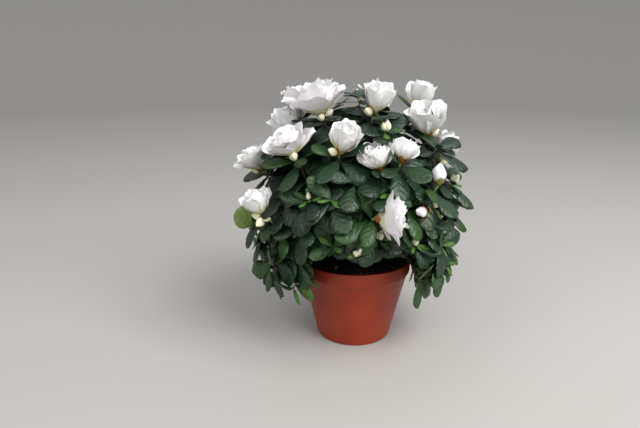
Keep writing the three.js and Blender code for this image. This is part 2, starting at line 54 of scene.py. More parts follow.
MM = 0.001
UP = np.array([0.0, 0.0, 1.0])
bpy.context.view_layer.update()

# Pot and peat: the rim and the heights come from the frame
_, POT_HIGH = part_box("pot")
SOIL_LOW, SOIL_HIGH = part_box("soil")
POT_HEIGHT = POT_HIGH.z / MM
POT_RIM_RADIUS = POT_HIGH.x / MM
SOIL_TOP = SOIL_HIGH.z / MM
SOIL_BOTTOM = SOIL_LOW.z / MM
POT_BASE_RADIUS = 43
POT_WALL = 1.6
POT_FLOOR = 2.4
RIM_BAND_HEIGHT = 16
RIM_STEP = 1.8
RIM_FLARE = 1.2
DRAIN_HOLES = 6
DRAIN_RADIUS = 4
DRAIN_CIRCLE = 30
SOIL_LEVEL_RADIUS = 16
SOIL_EDGE_DROP = 2
SOIL_SLOPE_WIDTH = 46
GAP = 0.3

# Crown: its outer surface is a full dome round a focus just above the pot
FOCUS = np.array([0.0, 0.0, 128.0])
CROWN_RADIUS = 122
CROWN_ABOVE = 163
CROWN_BELOW = 84
CROWN_FULLNESS = 2.5

# Trunk and boughs
TRUNK_TOP = np.array([3.0, -2.0, 136.0])
TRUNK_LEAN = 2.5
TRUNK_LOW_HANDLE = 12
TRUNK_HIGH_HANDLE = 18
TRUNK_RADIUS = 5
TRUNK_TOP_RADIUS = 3.2
FLARE_RADIUS = 10
FLARE_HEIGHT = 14
STUB_REACH = 5
BOUGH_RADIUS = 2.6
BOUGH_TIP_RADIUS = 1.8
BOUGH_REACH = 0.33
CURVE_HANDLE = 0.35
TIERS = [
    {"name": "lower", "count": 6, "fork": 104, "turn": 0, "elevation": -12, "rise": 0.55},
    {"name": "middle", "count": 5, "fork": 119, "turn": 36, "elevation": 28, "rise": 0.9},
    {"name": "top", "count": 3, "fork": 130, "turn": 10, "elevation": 66, "rise": 2.5},
]
FRONT_ELEVATION = 12
FORK_STAGGER = 3

# Shoots: the source's spiral of shoot tips, then finer ones between them and inside the crown
SHOOT_LATTICE = 106
SHOOT_DEPTH = 0.84
SHOOT_DEPTH_SPREAD = 0.07
GOLDEN_ANGLE = math.pi * (3 - math.sqrt(5))
LOWEST_SHOOT = -31
LOWEST_SHOOT_AT_FRONT = 3
FRONT_WINDOW = 42
HEAD_SPACING = 15
SHOOT_LIFT = 0.3
FLOWER_LIFT = 1.3
# Share of the spiral's shoots that flower, above each height of their direction's unit vector
FLOWER_SHARES = [(0.6, 0.62), (0, 0.26), (-1, 0.078)]
OPEN_SHARE = 0.5
BUD_SHARE = 0.16
SIDE_BUD_CHOICES = 3
SHOOT_SWAY = 0.35
# The flowers and buds that the photograph shows. Each row says the form, where the shoot looks and
# where its bloom looks, both as (azimuth, elevation), size, stalk, and where its side buds look
FLOWER_HEADS = [
    ("cup", (-56, 9), (-80, 62), 0.85, 27, [(-95, 5), (-35, -25), (20, 5)]),
    ("open", (5, 22), (86, 6), 0.95, 3, []),
    ("open", (-47, 46), (-75, 66), 0.95, 3, [(-10, 20)]),
    ("cup", (-16, 50), (50, 66), 0.95, 3, [(-60, 30)]),
    ("double", (12, 44), (-60, 66), 0.92, 3, []),
    ("double", (22, 44), (100, 74), 0.8, 3, []),
    ("candle", (46, 31), (10, 84), 1.0, 9, []),
    ("cup", (72, 54), (-35, 66), 1.1, 3, [(70, 40)]),
    ("bud", (20, 60), (20, 80), 1.0, 4, []),
    ("open", (-45, 68), (-60, 72), 1.2, 3, [(-20, 10), (60, 40)]),
    ("cup", (-72, 58), (-75, 58), 1.1, 3, []),
    ("cup", (14, 70), (60, 70), 1.0, 3, [(-40, 30)]),
    ("bud", (-30, 29), (-20, 70), 0.7, 4, []),
    ("candle", (42, 18), (-60, 20), 0.7, 24, []),
    ("bud", (70, 30), (50, 60), 1.0, 4, []),
    ("bud", (62, 2), (40, 35), 1.1, 4, []),
]
FINER_LAYERS = [
    {"lattice": 190, "depth": 0.82, "spread": 0.09, "spacing": 9.5, "leaves": 6},
    {"lattice": 120, "depth": 0.56, "spread": 0.10, "spacing": 0.0, "leaves": 5},
]

# Twigs
FORK_SHARES = [0.12, 0.26, 0.40, 0.54]
FINER_SHARES = [0.33, 0.47, 0.61, 0.70, 0.79]
WAY_WEIGHT = 0.5
ONWARD_PULL = 0.7
TWIG_RADIUS = 0.75
TWIG_GROWTH = 0.4
OLD_TWIG_FEEDS = 3

# Leaves, as long and wide as real ones
LEAVES_PER_SHOOT = 7
MOST_LEAVES_PER_SHOOT = 20
STEM_LEAVES = 2
STEM_LEAF_BACK = 16
STEM_LEAF_STEP = 9
STEM_LEAF_SIZE = 0.88
STEM_LEAF_LEAN = 68
YOUNG_LEAVES = 5
YOUNG_SIZE = 0.48
YOUNG_LEAN = 56
YOUNG_HALF_WIDTH = 0.7
YOUNG_ABOVE = -0.2
LEAF_LENGTH = 42
LEAF_HALF_WIDTH = 12.2
LEAF_THICKNESS = 0.5
LEAF_DROOP = 0.26
LEAF_LEAN = 50
LEAF_LEAN_STEP = 6.5
LEAF_STEP = 1.5
LEAF_TRIES = 12
# A leaf's other measures: the least, what chance adds to it and the purpose of that chance
LEAF_MEASURES = {
    "bend": (0.18, 0.55, 10), "fold": (0.16, 0.22, 11), "curl": (0.28, 0.22, 12), "rise": (0.95, 0.35, 13),
    "close": (0.44, 0.22, 14), "ripple": (0.2, 0.5, 15), "waves": (2.4, 1, 16), "phase": (0, 6.3, 17),
}
LEAF_RINGS = 7
GREEN_STEPS = [-0.1, 0.5, 0.95]
LIGHTER_LEAF_SHARE = 0.16
LIMB_MARGIN = 0.4
POT_MARGIN = 2.0
LIME_LEAF = {"near": (-103, -28, 168), "along": (-0.9, -0.3, 0.2), "faces": (0, -0.93, 0.36),
             "length": 29, "half": 12.5, "bend": 0.25, "green": 4}

# Opening at the front, where rim and peat show under the leaves
OPENING_FROM = -42
OPENING_TO = 57
OPENING_BACK = 10
OPENING_TOP = 90
OPENING_SLOPE = 0.4
HANGING_SPRAY = {"place": 8, "width": 16, "drop": 12}
HEM = 60
HEM_WAVE = 6

# Flowers: their whorls of petals run from the outermost in. Each row says how many petals there
# are, their length and half width, lean and bend in degrees, cup and swell
FLOWER_FOOT = {"stalk": 3, "scale_length": 9.5, "girth": 0.9}
FLOWERS = {
    "open": {**FLOWER_FOOT, "height": 24, "clear": 15, "scales": 5, "whorls": [
        (5, 33, 15, 32, 44, 0.10, 0.08),
        (5, 31, 13, 22, 40, 0.12, 0.10),
        (5, 28, 11, 12, 30, 0.16, 0.12),
        (4, 26, 9, 4, 18, 0.18, 0.10),
    ]},
    "cup": {**FLOWER_FOOT, "height": 28, "clear": 10, "scales": 5, "whorls": [
        (5, 31, 13, 14, 34, 0.24, 0.14),
        (5, 30, 11, 6, 18, 0.22, 0.14),
        (4, 28, 9, 3, 10, 0.20, 0.10),
    ]},
    "double": {**FLOWER_FOOT, "height": 24, "clear": 13, "scales": 4, "whorls": [
        (6, 26, 13, 50, -34, 0.25, 0.05),
        (5, 26, 12, 34, -20, 0.25, 0.08),
        (5, 24, 11, 20, -8, 0.22, 0.10),
        (4, 23, 9, 8, 6, 0.20, 0.10),
    ]},
}
PETAL_RUFFLE = 1.0
PETAL_RUFFLE_STEP = 0.25
PETAL_TWIST = 12
PETAL_TWIST_STEP = 8
PODS = {
    "candle": {"stalk": 9, "scale_length": 10.5, "girth": 2, "height": 22, "clear": 11, "scales": 6,
               "radius": 7.0, "twist": 1.2},
    "bud": {"stalk": 4, "scale_length": 4.6, "girth": 0.9, "height": 12.5, "clear": 4, "scales": 3,
            "radius": 4.1, "twist": 0.5},
}
BLOOMS = {**FLOWERS, **PODS}
BLOOM_MIDDLE = 0.72
SIDE_BUD_REACH = 8
MOST_BUDS = 3
BUDS_APART = 0.42
CALYX_HEIGHT = 3
STALK_RADIUS = 1.0
PETAL_THICKNESS = 0.4
PETAL_ROWS = 5
PETAL_COLUMNS = 9
SCALE_THICKNESS = 0.3

# Looks
POT_COLOUR = "#8a2c11"
POT_COLOUR_PALE = "#963418"
BLUSH_SHARE = 0.3
MOULD_RING_SPACING = 4.708
# Crumbs of the peat: size across, height and seed of the noise
CRUMB_SIZES = [(9, 1.1, 1), (3.6, 0.7, 2), (1.7, 0.45, 3)]
CRUMB_EDGE_RADIUS = 63
CRUMB_EDGE_WIDTH = 4
LOOSE_CRUMBS = 320

# Camera of the photograph, in the plant's frame
CAMERA_PLACE = (-40.3, -579.9, 318.2)
CAMERA_PITCH = 16.69
CAMERA_LENS = 29.84
CAMERA_SENSOR = 36

# Stage
FLOOR_RADIUS = 3000
COVE_RADIUS = 1500
WORLD_STRENGTH = 0.76
# Soft boxes: name, place in metres and watts
SOFT_BOXES = [("key_soft_box", (0.85, -0.85, 1.4), 40), ("fill_soft_box", (-0.9, -1.1, 1.3), 10)]
SOFT_BOX_SIZE = 1.2
SOFT_BOX_AIM = (0, 0, 0.15)


def chance(index, purpose):
    """A repeatable number from 0 to 1 for two numbers: the fraction left of a large sine wave."""
    wave = np.sin(index * 12.9898 + purpose * 78.233) * 43758.5453
    return wave - np.floor(wave)


def unit(vector):
    """The vector divided by its length."""
    vector = np.asarray(vector, float)
    return vector / np.maximum(np.linalg.norm(vector, axis=-1, keepdims=True), 1e-9)


def direction_at(azimuth, elevation):
    """Unit vector, with azimuth counted from the front towards +X and elevation from the level."""
    a, e = np.radians(azimuth), np.radians(elevation)
    return np.array([np.sin(a) * np.cos(e), -np.cos(a) * np.cos(e), np.sin(e)])


def radial_at(heading, turn):
    """Unit vector across a heading, turned round it."""
    across = unit(np.cross(heading, UP))
    return across * math.cos(turn) + np.cross(across, heading) * math.sin(turn)


def angles_round(count):
    """Equal steps of angle once round."""
    return np.linspace(0, 2 * math.pi, count, endpoint=False)


def noise(points, size, seed):
    """Smooth noise from -1 to 1: chance values at the corners of cubes, blended by 3s^2 - 2s^3."""
    scaled = points / size
    cell = np.floor(scaled)
    share = scaled - cell
    share = share * share * (3 - 2 * share)
    total = 0
    for corner in product((0, 1), repeat=3):
        place = cell + corner
        value = chance(place[..., 0] + 37.7 * place[..., 1] + 91.3 * place[..., 2], seed)
        weight = np.prod(np.where(corner, share, 1 - share), axis=-1)
        total = total + weight * (2 * value - 1)
    return total


def crown_reach(look):
    """Distance from the focus to the crown: a superellipse of level radius and upright radius."""
    level = np.hypot(look[..., 0], look[..., 1]) / CROWN_RADIUS
    upright = np.abs(look[..., 2]) / np.where(look[..., 2] > 0, CROWN_ABOVE, CROWN_BELOW)
    return (level**CROWN_FULLNESS + upright**CROWN_FULLNESS) ** (-1 / CROWN_FULLNESS)


def crown_point(look, depth):
    """The point that lies at a share of the crown's reach from the focus."""
    return FOCUS + look * (crown_reach(look) * depth)[..., None]


def curve_point(curve, share):
    """Point of a cubic curve: (1-t)^3, 3t(1-t)^2, 3t^2(1-t) and t^3 weigh its four points."""
    t = np.asarray(share, float)[..., None]
    a, b, c, d = (curve[..., k, :] for k in range(4))
    return a * (1 - t) ** 3 + b * 3 * t * (1 - t) ** 2 + c * 3 * t**2 * (1 - t) + d * t**3


def curve_heading(curve, share):
    """Heading of a cubic curve: its derivative, made a unit vector."""
    t = np.asarray(share, float)[..., None]
    a, b, c, d = (curve[..., k, :] for k in range(4))
    return unit((b - a) * (1 - t) ** 2 + (c - b) * 2 * t * (1 - t) + (d - c) * t**2)


# Meshes

def skin(rings, around):
    """Corners of the faces of a closed skin: quads between rings, triangles round its two poles."""
    here = np.arange(around)
    there = (here + 1) % around
    start = 1 + np.arange(rings)[:, None] * around
    first, last = start[0], start[-1]
    quads = np.stack([start[:-1] + here, start[:-1] + there, start[1:] + there, start[1:] + here], -1)
    foot = np.stack([np.zeros(around, int), first + there, first + here], -1)
    tip = np.stack([np.full(around, rings * around + 1), last + here, last + there], -1)
    return quads.reshape(-1, 4), np.concatenate([foot, tip])


def sheet(rows, columns):
    """Corners of the faces of a closed thin sheet: an upper and a lower grid with one margin."""
    upper = np.arange(rows * columns).reshape(rows, columns)
    lower = upper.copy()
    inner = (rows - 2) * (columns - 2)
    lower[1:-1, 1:-1] = upper.size + np.arange(inner).reshape(rows - 2, columns - 2)
    above = np.stack([upper[:-1, :-1], upper[:-1, 1:], upper[1:, 1:], upper[1:, :-1]], -1)
    below = np.stack([lower[:-1, :-1], lower[1:, :-1], lower[1:, 1:], lower[:-1, 1:]], -1)
    return np.concatenate([above.reshape(-1, 4), below.reshape(-1, 4)]), np.zeros((0, 3), int)


def signed_volume(points, quads, triangles):
    """Six times the volume inside the faces: the triple product of each triangle's corners."""
    corners = np.concatenate([triangles, quads[:, :3], quads[:, [0, 2, 3]]])
    a, b, c = (points[corners[:, k]] for k in range(3))
    return float(np.einsum("ij,ij->", a, np.cross(b, c)))


def new_object(name, data):
    """An object in the scene for a mesh, a light or a camera."""
    made = bpy.data.objects.new(name, data)
    bpy.context.scene.collection.objects.link(made)
    return made


def make_piece(name, parts, materials, sharp=60):
    """One mesh from parts, each with points (count, points each, 3), the faces of one of its
    items, a finish for each face and, where a pattern follows the surface, uv for each point."""
    points, starts, corners, finishes, uvs = [], [], [], [], []
    offset = 0
    loop = 0
    for part in parts:
        count, each = part.points.shape[:2]
        quads, triangles = part.faces
        flat = part.points.reshape(-1, 3)
        if signed_volume(part.points[0] - part.points[0].mean(0), quads, triangles) < 0:
            quads, triangles = quads[:, ::-1], triangles[:, ::-1]
        base = offset + each * np.arange(count)[:, None, None]
        finish_of_quads, finish_of_triangles = np.split(part.finish, [len(quads)], axis=1)
        for faces, finish in ((quads, finish_of_quads), (triangles, finish_of_triangles)):
            placed = (faces[None] + base).reshape(-1, faces.shape[1])
            corners.append(placed.ravel())
            starts.append(loop + faces.shape[1] * np.arange(len(placed)))
            finishes.append(finish.ravel())
            loop += placed.size
            if part.uv is not None:
                uvs.append(np.tile(part.uv[faces.ravel()], (count, 1)))
        points.append(flat)
        offset += len(flat)
    points = np.concatenate(points) * MM
    corners = np.concatenate(corners)
    starts = np.concatenate(starts)
    mesh = bpy.data.meshes.new(name)
    mesh.vertices.add(len(points))
    mesh.vertices.foreach_set("co", points.astype(np.float32).ravel())
    mesh.loops.add(len(corners))
    mesh.loops.foreach_set("vertex_index", corners.astype(np.int32))
    mesh.polygons.add(len(starts))
    mesh.polygons.foreach_set("loop_start", starts.astype(np.int32))
    mesh.polygons.foreach_set("material_index", np.concatenate(finishes).astype(np.int32))
    if uvs:
        layer = mesh.uv_layers.new(name="surface")
        layer.uv.foreach_set("vector", np.concatenate(uvs).astype(np.float32).ravel())
    mesh.update(calc_edges=True)
    mesh.polygons.foreach_set("use_smooth", np.ones(len(starts), bool))
    mesh.set_sharp_from_angle(angle=math.radians(sharp))
    for material in materials:
        mesh.materials.append(material)
    return new_object(name, mesh)


def part_of(points, faces, finish=0, uv=None):
    """What make_piece reads: like items, and one finish for all, one by item or one by face."""
    finish = np.broadcast_to(np.atleast_2d(finish), (len(points), len(faces[0]) + len(faces[1])))
    return SimpleNamespace(points=points, faces=faces, finish=finish, uv=uv)


def tubes(centres, radii, around):
    """Closed round skins along paths (count, stations, 3). Each ring lies across its path, with
    one axis level, or along Y for a steep path, and its radius is given by station or by point."""
    centres = np.asarray(centres, float)
    heading = unit(np.gradient(centres, axis=1))
    chord = unit(centres[:, -1] - centres[:, 0])
    steep = (np.abs(chord[:, 2]) > 0.9)[:, None]
    sideways = np.where(steep, np.array([0.0, 1.0, 0.0]), UP)[:, None]
    across = unit(np.cross(sideways, heading))
    outward = np.cross(heading, across)
    angle = angles_round(around)
    ring = across[:, :, None] * np.cos(angle)[:, None] + outward[:, :, None] * np.sin(angle)[:, None]
    radii = np.asarray(radii, float)
    if radii.ndim == 2:
        radii = radii[:, :, None]
    rings = centres[:, :, None] + ring * radii[..., None]
    count, stations = centres.shape[:2]
    body = rings.reshape(count, stations * around, 3)
    return np.concatenate([centres[:, :1], body, centres[:, -1:]], axis=1)


def turned(profile, around):
    """One skin turned round the Z axis from (radius, height) points that start and end on it."""
    profile = np.asarray(profile, float)
    angle = angles_round(around)
    radius, height = profile[1:-1, :1], profile[1:-1, 1:]
    rings = np.stack([radius * np.cos(angle), radius * np.sin(angle), height + 0 * angle], -1)
    ends = np.array([[0, 0, profile[0, 1]], [0, 0, profile[-1, 1]]])
    return np.concatenate([ends[:1], rings.reshape(-1, 3), ends[1:]])[None]


def blade_grid(rings, upper, lower):
    """Shares along (0 to 1) and across (-1 to 1) a blade and its side (1 above, -1 below, 0 on the
    margin) for each point of its skin. Rings crowd towards the tip, as sin(90 deg u)^1.5 does."""
    along = np.sin(np.pi / 2 * (np.arange(rings) + 0.5) / rings) ** 1.5
    across = np.concatenate([[-1], upper, [1], lower])
    face = np.concatenate([[0], np.ones(len(upper)), [0], -np.ones(len(lower))])
    t = np.concatenate([[0], np.repeat(along, len(across)), [1]])
    v = np.concatenate([[0], np.tile(across, rings), [0]])
    s = np.concatenate([[0], np.tile(face, rings), [0]])
    return SimpleNamespace(t=t, v=v, s=s, rings=rings, around=len(across))


def petal_grid(rows, columns):
    """The shares of blade_grid for the points of a sheet. Rows crowd towards its top, as
    1 - (1 - u)^1.5 does."""
    along = 1 - (1 - np.linspace(0, 1, rows)) ** 1.5
    t, v = np.meshgrid(along, np.linspace(-1, 1, columns), indexing="ij")
    side = np.zeros_like(t)
    side[1:-1, 1:-1] = 1
    both = [np.concatenate([grid.ravel(), sign * grid[1:-1, 1:-1].ravel()])
            for grid, sign in ((t, 1), (v, 1), (side, -1))]
    return SimpleNamespace(t=both[0], v=both[1], s=both[2])


def blade_outline(t, rise, close):
    """Half width as a share of the widest: t^rise (1-t)^close, divided by its highest value."""
    widest = rise / (rise + close)
    return (t / widest) ** rise * ((1 - t) / (1 - widest)) ** close


def on_arc(pose, reach, aside, height):
    """Points over an arc that leaves along `along` and falls away from `up` by `bend` over its
    length, at a share of that length, and at distances to the side and above the arc."""
    bend, length = pose["bend"][:, None], pose["length"][:, None]
    turn = bend * reach
    ahead = length * np.sin(turn) / bend + np.sin(turn) * height
    upward = -length * (1 - np.cos(turn)) / bend + np.cos(turn) * height
    return (pose["root"][:, None] + ahead[..., None] * pose["along"][:, None]
            + aside[..., None] * pose["side"][:, None] + upward[..., None] * pose["up"][:, None])


def as_columns(pose):
    """The numbers of a pose, one for each blade, as columns beside its points."""
    return {key: value[:, None] for key, value in pose.items() if value.ndim == 1}


def blades(grid, pose, thickness):
    """Points of leaves and scales. Across a blade the height is fold*|v| - curl*v^2, times the half
    width, plus ripples that grow with t^3, and the two faces stand apart by the thickness."""
    t, v = grid.t[None], grid.v[None]
    one = as_columns(pose)
    width = one["half"] * np.maximum(blade_outline(t, one["rise"], one["close"]), 0.03)
    phase = one["phase"]
    ripple = np.sin(one["waves"] * v + phase) + 0.6 * np.sin(1.9 * one["waves"] * v + 2.3 * phase + 2 * t)
    height = width * (one["fold"] * np.abs(v) - one["curl"] * v * v) + one["ripple"] * t**3 * ripple
    height = height + grid.s[None] * thickness / 2 * np.minimum(1, 6 * (1 - t) + 0.2)
    return on_arc(pose, t + 0 * v, v * width, height)


def petal_blades(grid, pose, thickness):
    """Points of petals. The half width is 0.2 + 0.8 sin(0.7 pi t^0.9) of the widest, and the top is
    round, as the sides reach less by 0.18 (v t)^2. The sides rise by cup*v^2 times the half width.
    Two waves across ruffle the petal, by t^2 and more at its sides, a third frills its top, and
    the whole swells outward by sin(pi t)^1.5 of its length and turns by `twist`."""
    t, v = grid.t[None], grid.v[None]
    one = as_columns(pose)
    width = one["half"] * (0.2 + 0.8 * np.sin(0.7 * np.pi * t**0.9))
    waves, phase = np.pi * one["waves"], one["phase"]
    ruffle = np.sin(waves * v + phase) + 0.5 * np.sin(1.35 * waves * v + 2.1 * phase + 3 * t)
    height = width * one["cup"] * v * v + one["ruffle"] * t * t * (0.4 + 0.6 * np.abs(v)) * ruffle
    height = height + grid.s[None] * thickness / 2
    frill = np.sin(1.2 * waves * v + 1.7 * phase)
    reach = t * (1 - 0.18 * (v * t) ** 2) + 0.8 * one["ruffle"] / one["length"] * t**3 * frill
    turn = one["twist"] * t
    aside = v * width
    swell = one["swell"] * one["length"] * np.maximum(np.sin(np.pi * t), 0) ** 1.5
    return on_arc(pose, reach, aside * np.cos(turn) - height * np.sin(turn),
                  aside * np.sin(turn) + height * np.cos(turn) - swell)


# Masses, limbs and shoots, by the rule of the source

def make_masses():
    """The crown's masses: each tier's masses look out at equal turns round the trunk."""
    masses = []
    for tier in TIERS:
        for index in range(tier["count"]):
            azimuth = tier["turn"] + 360 * index / tier["count"]
            at_front = tier["name"] == "lower" and index == 0
            look = direction_at(azimuth, FRONT_ELEVATION if at_front else tier["elevation"])
            masses.append(SimpleNamespace(name=f"{tier['name']}_{index + 1}", tier=tier, index=index,
                                          look=look, shoots=[], twigs=[]))
    return masses


def trunk_radius(share):
    """Straight taper, with a root flare that fades with height to the power 1.8."""
    flare = np.maximum(0, 1 - share * (TRUNK_TOP[2] - SOIL_TOP) / FLARE_HEIGHT)
    plain = TRUNK_RADIUS + (TRUNK_TOP_RADIUS - TRUNK_RADIUS) * share
    return plain + (FLARE_RADIUS - TRUNK_RADIUS) * flare**1.8


TRUNK_CURVE = np.array([
    [0, 0, SOIL_TOP + GAP],
    [0, 0, SOIL_TOP + GAP + TRUNK_LOW_HANDLE],
    [TRUNK_TOP[0] + TRUNK_LEAN, TRUNK_TOP[1], TRUNK_TOP[2] - TRUNK_HIGH_HANDLE],
    TRUNK_TOP,
])


def set_limbs(mass):
    """A mass's fork on the trunk, the straight stub that leaves it and the curve of its bough."""
    height = mass.tier["fork"] + FORK_STAGGER * (mass.index % 2)
    mass.fork = curve_point(TRUNK_CURVE, (height - SOIL_TOP) / (TRUNK_TOP[2] - SOIL_TOP))
    level = unit([mass.look[0], mass.look[1], 0])
    leave = unit(level + mass.tier["rise"] * UP)
    start = mass.fork + leave * (TRUNK_RADIUS + STUB_REACH + GAP)
    end = crown_point(mass.look, BOUGH_REACH)
    handle = CURVE_HANDLE * np.linalg.norm(end - start)
    mass.bough = np.array([start, start + leave * handle, end - mass.look * handle, end])


def shoot_form(k, height):
    """What tops a shoot of the spiral: more flowers towards the top of the crown."""
    share = next(share for lowest, share in FLOWER_SHARES if height > lowest)
    draw = chance(k, 2)
    if draw < share:
        return "open" if draw < share * OPEN_SHARE else "cup"
    return "bud" if draw < share + BUD_SHARE else "leafy"


def spiral(count):
    """Evenly spread directions: equal steps in height, each a golden angle further round."""
    k = np.arange(count)
    height = 1 - (2 * k + 1) / count
    out = np.sqrt(1 - height * height)
    return np.stack([out * np.sin(k * GOLDEN_ANGLE), -out * np.cos(k * GOLDEN_ANGLE), height], -1)


def too_low(look):
    """Whether a shoot would lie under the skirts or hide the peat at the front."""
    azimuth = math.degrees(math.atan2(look[0], -look[1]))
    lowest = LOWEST_SHOOT_AT_FRONT if abs(azimuth) < FRONT_WINDOW else LOWEST_SHOOT
    return math.degrees(math.asin(look[2])) < lowest


def near_any(look, others, spacing):
    """Whether a direction lies within that many degrees of any other."""
    return bool(len(others)) and float(np.max(np.array(others) @ look)) > math.cos(math.radians(spacing))


def make_shoots():
    """The source's shoots in its order, then the finer layers that fill in between and inside."""
    main = {"depth": SHOOT_DEPTH, "spread": SHOOT_DEPTH_SPREAD, "leaves": LEAVES_PER_SHOOT, "finer": False}
    shoots = [SimpleNamespace(form=form, look=direction_at(*look), bloom=direction_at(*bloom), stalk=stalk,
                              bloom_size=size, buds=[direction_at(*bud) for bud in buds], **main)
              for form, look, bloom, size, stalk, buds in FLOWER_HEADS]
    heads = [shoot.look for shoot in shoots]
    for k, look in enumerate(spiral(SHOOT_LATTICE)):
        if not too_low(look) and not near_any(look, heads, HEAD_SPACING):
            shoots.append(SimpleNamespace(form=shoot_form(k, look[2]), look=look, **main))
    outer = [shoot.look for shoot in shoots]
    for layer in FINER_LAYERS:
        spacing = layer["spacing"]
        for k, look in enumerate(spiral(layer["lattice"])):
            if not too_low(look) and not (spacing and near_any(look, outer, spacing)):
                bud = spacing and chance(k, 8) < BUD_SHARE
                shoots.append(SimpleNamespace(
                    form="bud" if bud else "leafy", look=look, depth=layer["depth"], spread=layer["spread"],
                    leaves=layer["leaves"], finer=True))
    for k, shoot in enumerate(shoots):
        shoot.index = k
        shoot.tip = crown_point(shoot.look, shoot.depth + shoot.spread * (2 * chance(k, 1) - 1))
        lift = SHOOT_LIFT * min(1, max(0, 1 + 2.5 * shoot.look[2]))
        shoot.heading = unit(shoot.look + lift * UP)
        if k >= len(heads):
            sway = SHOOT_SWAY * radial_at(shoot.heading, 2 * math.pi * float(chance(k, 6)))
            shoot.bloom = unit(shoot.look + FLOWER_LIFT * max(0.2, 1 + shoot.look[2]) * UP + sway)
            shoot.bloom_size = 0.85 + 0.25 * float(chance(k, 49))
            below = unit(shoot.heading - 0.6 * shoot.bloom)
            shoot.buds = [unit(below + 0.7 * radial_at(below, 2.5 * bud))
                          for bud in range(int(SIDE_BUD_CHOICES * chance(k, 46)))]
            shoot.stalk = BLOOMS[shoot.form]["stalk"] if shoot.form in BLOOMS else 0
        shoot.foot = shoot.tip + shoot.stalk / 2 * (shoot.heading + shoot.bloom)
    return shoots


def nearest_root(twigs, shoot):
    """The free place on a mass's twigs from which the way to a shoot is shortest, counting half
    of the way back to the stem."""
    best = None
    for twig in twigs:
        places = curve_point(twig.curve, np.array(twig.free_shares))
        ways = twig.way + np.array(twig.free_shares) * twig.length
        costs = np.linalg.norm(places - shoot.tip, axis=1) + WAY_WEIGHT * ways
        if len(costs) and (best is None or costs.min() < best[0]):
            k = int(costs.argmin())
            best = (float(costs[k]), twig, twig.free_shares[k], places[k], float(ways[k]))
    _, twig, share, place, way = best
    twig.free_shares.remove(share)
    return SimpleNamespace(twig=twig, place=place, way=way, heading=curve_heading(twig.curve, share))


def twig_to(shoot, root):
    """A twig that leaves its root partly onward along the older twig, and arrives along the shoot."""
    towards = shoot.tip - root.place
    length = float(np.linalg.norm(towards))
    leave = unit(towards / length + ONWARD_PULL * root.heading)
    handle = CURVE_HANDLE * length
    curve = np.array([root.place, root.place + leave * handle,
                      shoot.tip - shoot.heading * handle, shoot.tip])
    return SimpleNamespace(curve=curve, root=root, way=root.way, length=length, feeds=1,
                           free_shares=list(FORK_SHARES), shoot=shoot)


def grow_twigs(mass):
    """The source's shoots first, nearest the middle of the mass first, then the finer ones."""
    stem = SimpleNamespace(twig=None, place=mass.bough[3], way=0, heading=mass.look)
    for finer in (False, True):
        shoots = [shoot for shoot in mass.shoots if shoot.finer is finer]
        if finer:
            for twig in mass.twigs:
                twig.free_shares += FINER_SHARES
        for shoot in sorted(shoots, key=lambda shoot: -float(shoot.look @ mass.look)):
            root = nearest_root(mass.twigs, shoot) if mass.twigs else stem
            shoot.twig = twig_to(shoot, root)
            mass.twigs.append(shoot.twig)
            below = root.twig
            while below:
                below.feeds += 1
                below = below.root.twig


# Leaves: placed one after another, each clear of pot, limbs, flowers and earlier leaves

def pot_wall_radius(height):
    """Outer radius of the pot: a straight taper, then the wider band under the rim."""
    band = POT_HEIGHT - RIM_BAND_HEIGHT
    shoulder = POT_RIM_RADIUS - RIM_FLARE - RIM_STEP
    wall = POT_BASE_RADIUS + (shoulder - POT_BASE_RADIUS) * height / band
    rim = POT_RIM_RADIUS - RIM_FLARE * (POT_HEIGHT - height) / RIM_BAND_HEIGHT
    return np.where(height > band, rim, wall)


def clear_of_pot(points):
    """Whether all points are above the rim or outside the wall, by the margin."""
    out = np.hypot(points[:, 0], points[:, 1])
    above = points[:, 2] > POT_HEIGHT + POT_MARGIN
    return bool(np.all(above | (out > pot_wall_radius(points[:, 2]) + RIM_STEP + POT_MARGIN)))


def clear_of_opening(points):
    """Whether no point hangs in the opening at the front or below the hem. The opening's top rises
    towards the front, and dips by a bell curve where one spray hangs."""
    x, y, z = points.T
    if np.any(z < HEM + HEM_WAVE * noise(points, 30, 9)):
        return False
    dip = HANGING_SPRAY["drop"] * np.exp(-((x - HANGING_SPRAY["place"]) / HANGING_SPRAY["width"]) ** 2)
    inside = (x > OPENING_FROM) & (x < OPENING_TO) & (y < OPENING_BACK)
    return bool(np.all(~inside | (z > OPENING_TOP - OPENING_SLOPE * y - dip)))


def clear_of_balls(points, balls):
    """Whether no point lies inside any ball, each given as its middle and radius."""
    gap = np.linalg.norm(points[:, None] - balls[None, :, :3], axis=-1)
    return bool(np.all(gap > balls[None, :, 3]))


def limb_balls(masses):
    """Balls strung along the trunk and the boughs, a little larger than their radius."""
    share = np.linspace(0, 1, 14)
    balls = [np.column_stack([curve_point(TRUNK_CURVE, share), trunk_radius(share) + LIMB_MARGIN])]
    thickness = BOUGH_RADIUS + (BOUGH_TIP_RADIUS - BOUGH_RADIUS) * share + LIMB_MARGIN
    balls += [np.column_stack([curve_point(mass.bough, share), thickness]) for mass in masses]
    return np.concatenate(balls)


def bloom_balls(shoots):
    """The round space that each flower or bud fills above its stalk."""
    balls = []
    for shoot in shoots:
        if shoot.form in BLOOMS:
            shape = BLOOMS[shoot.form]
            middle = shoot.foot + shoot.bloom * shape["height"] * BLOOM_MIDDLE * shoot.bloom_size
            balls.append([*middle, shape["clear"] * shoot.bloom_size])
            balls += [[*(shoot.foot + SIDE_BUD_REACH * bud), BLOOMS["bud"]["clear"]] for bud in shoot.buds]
    return np.array(balls)


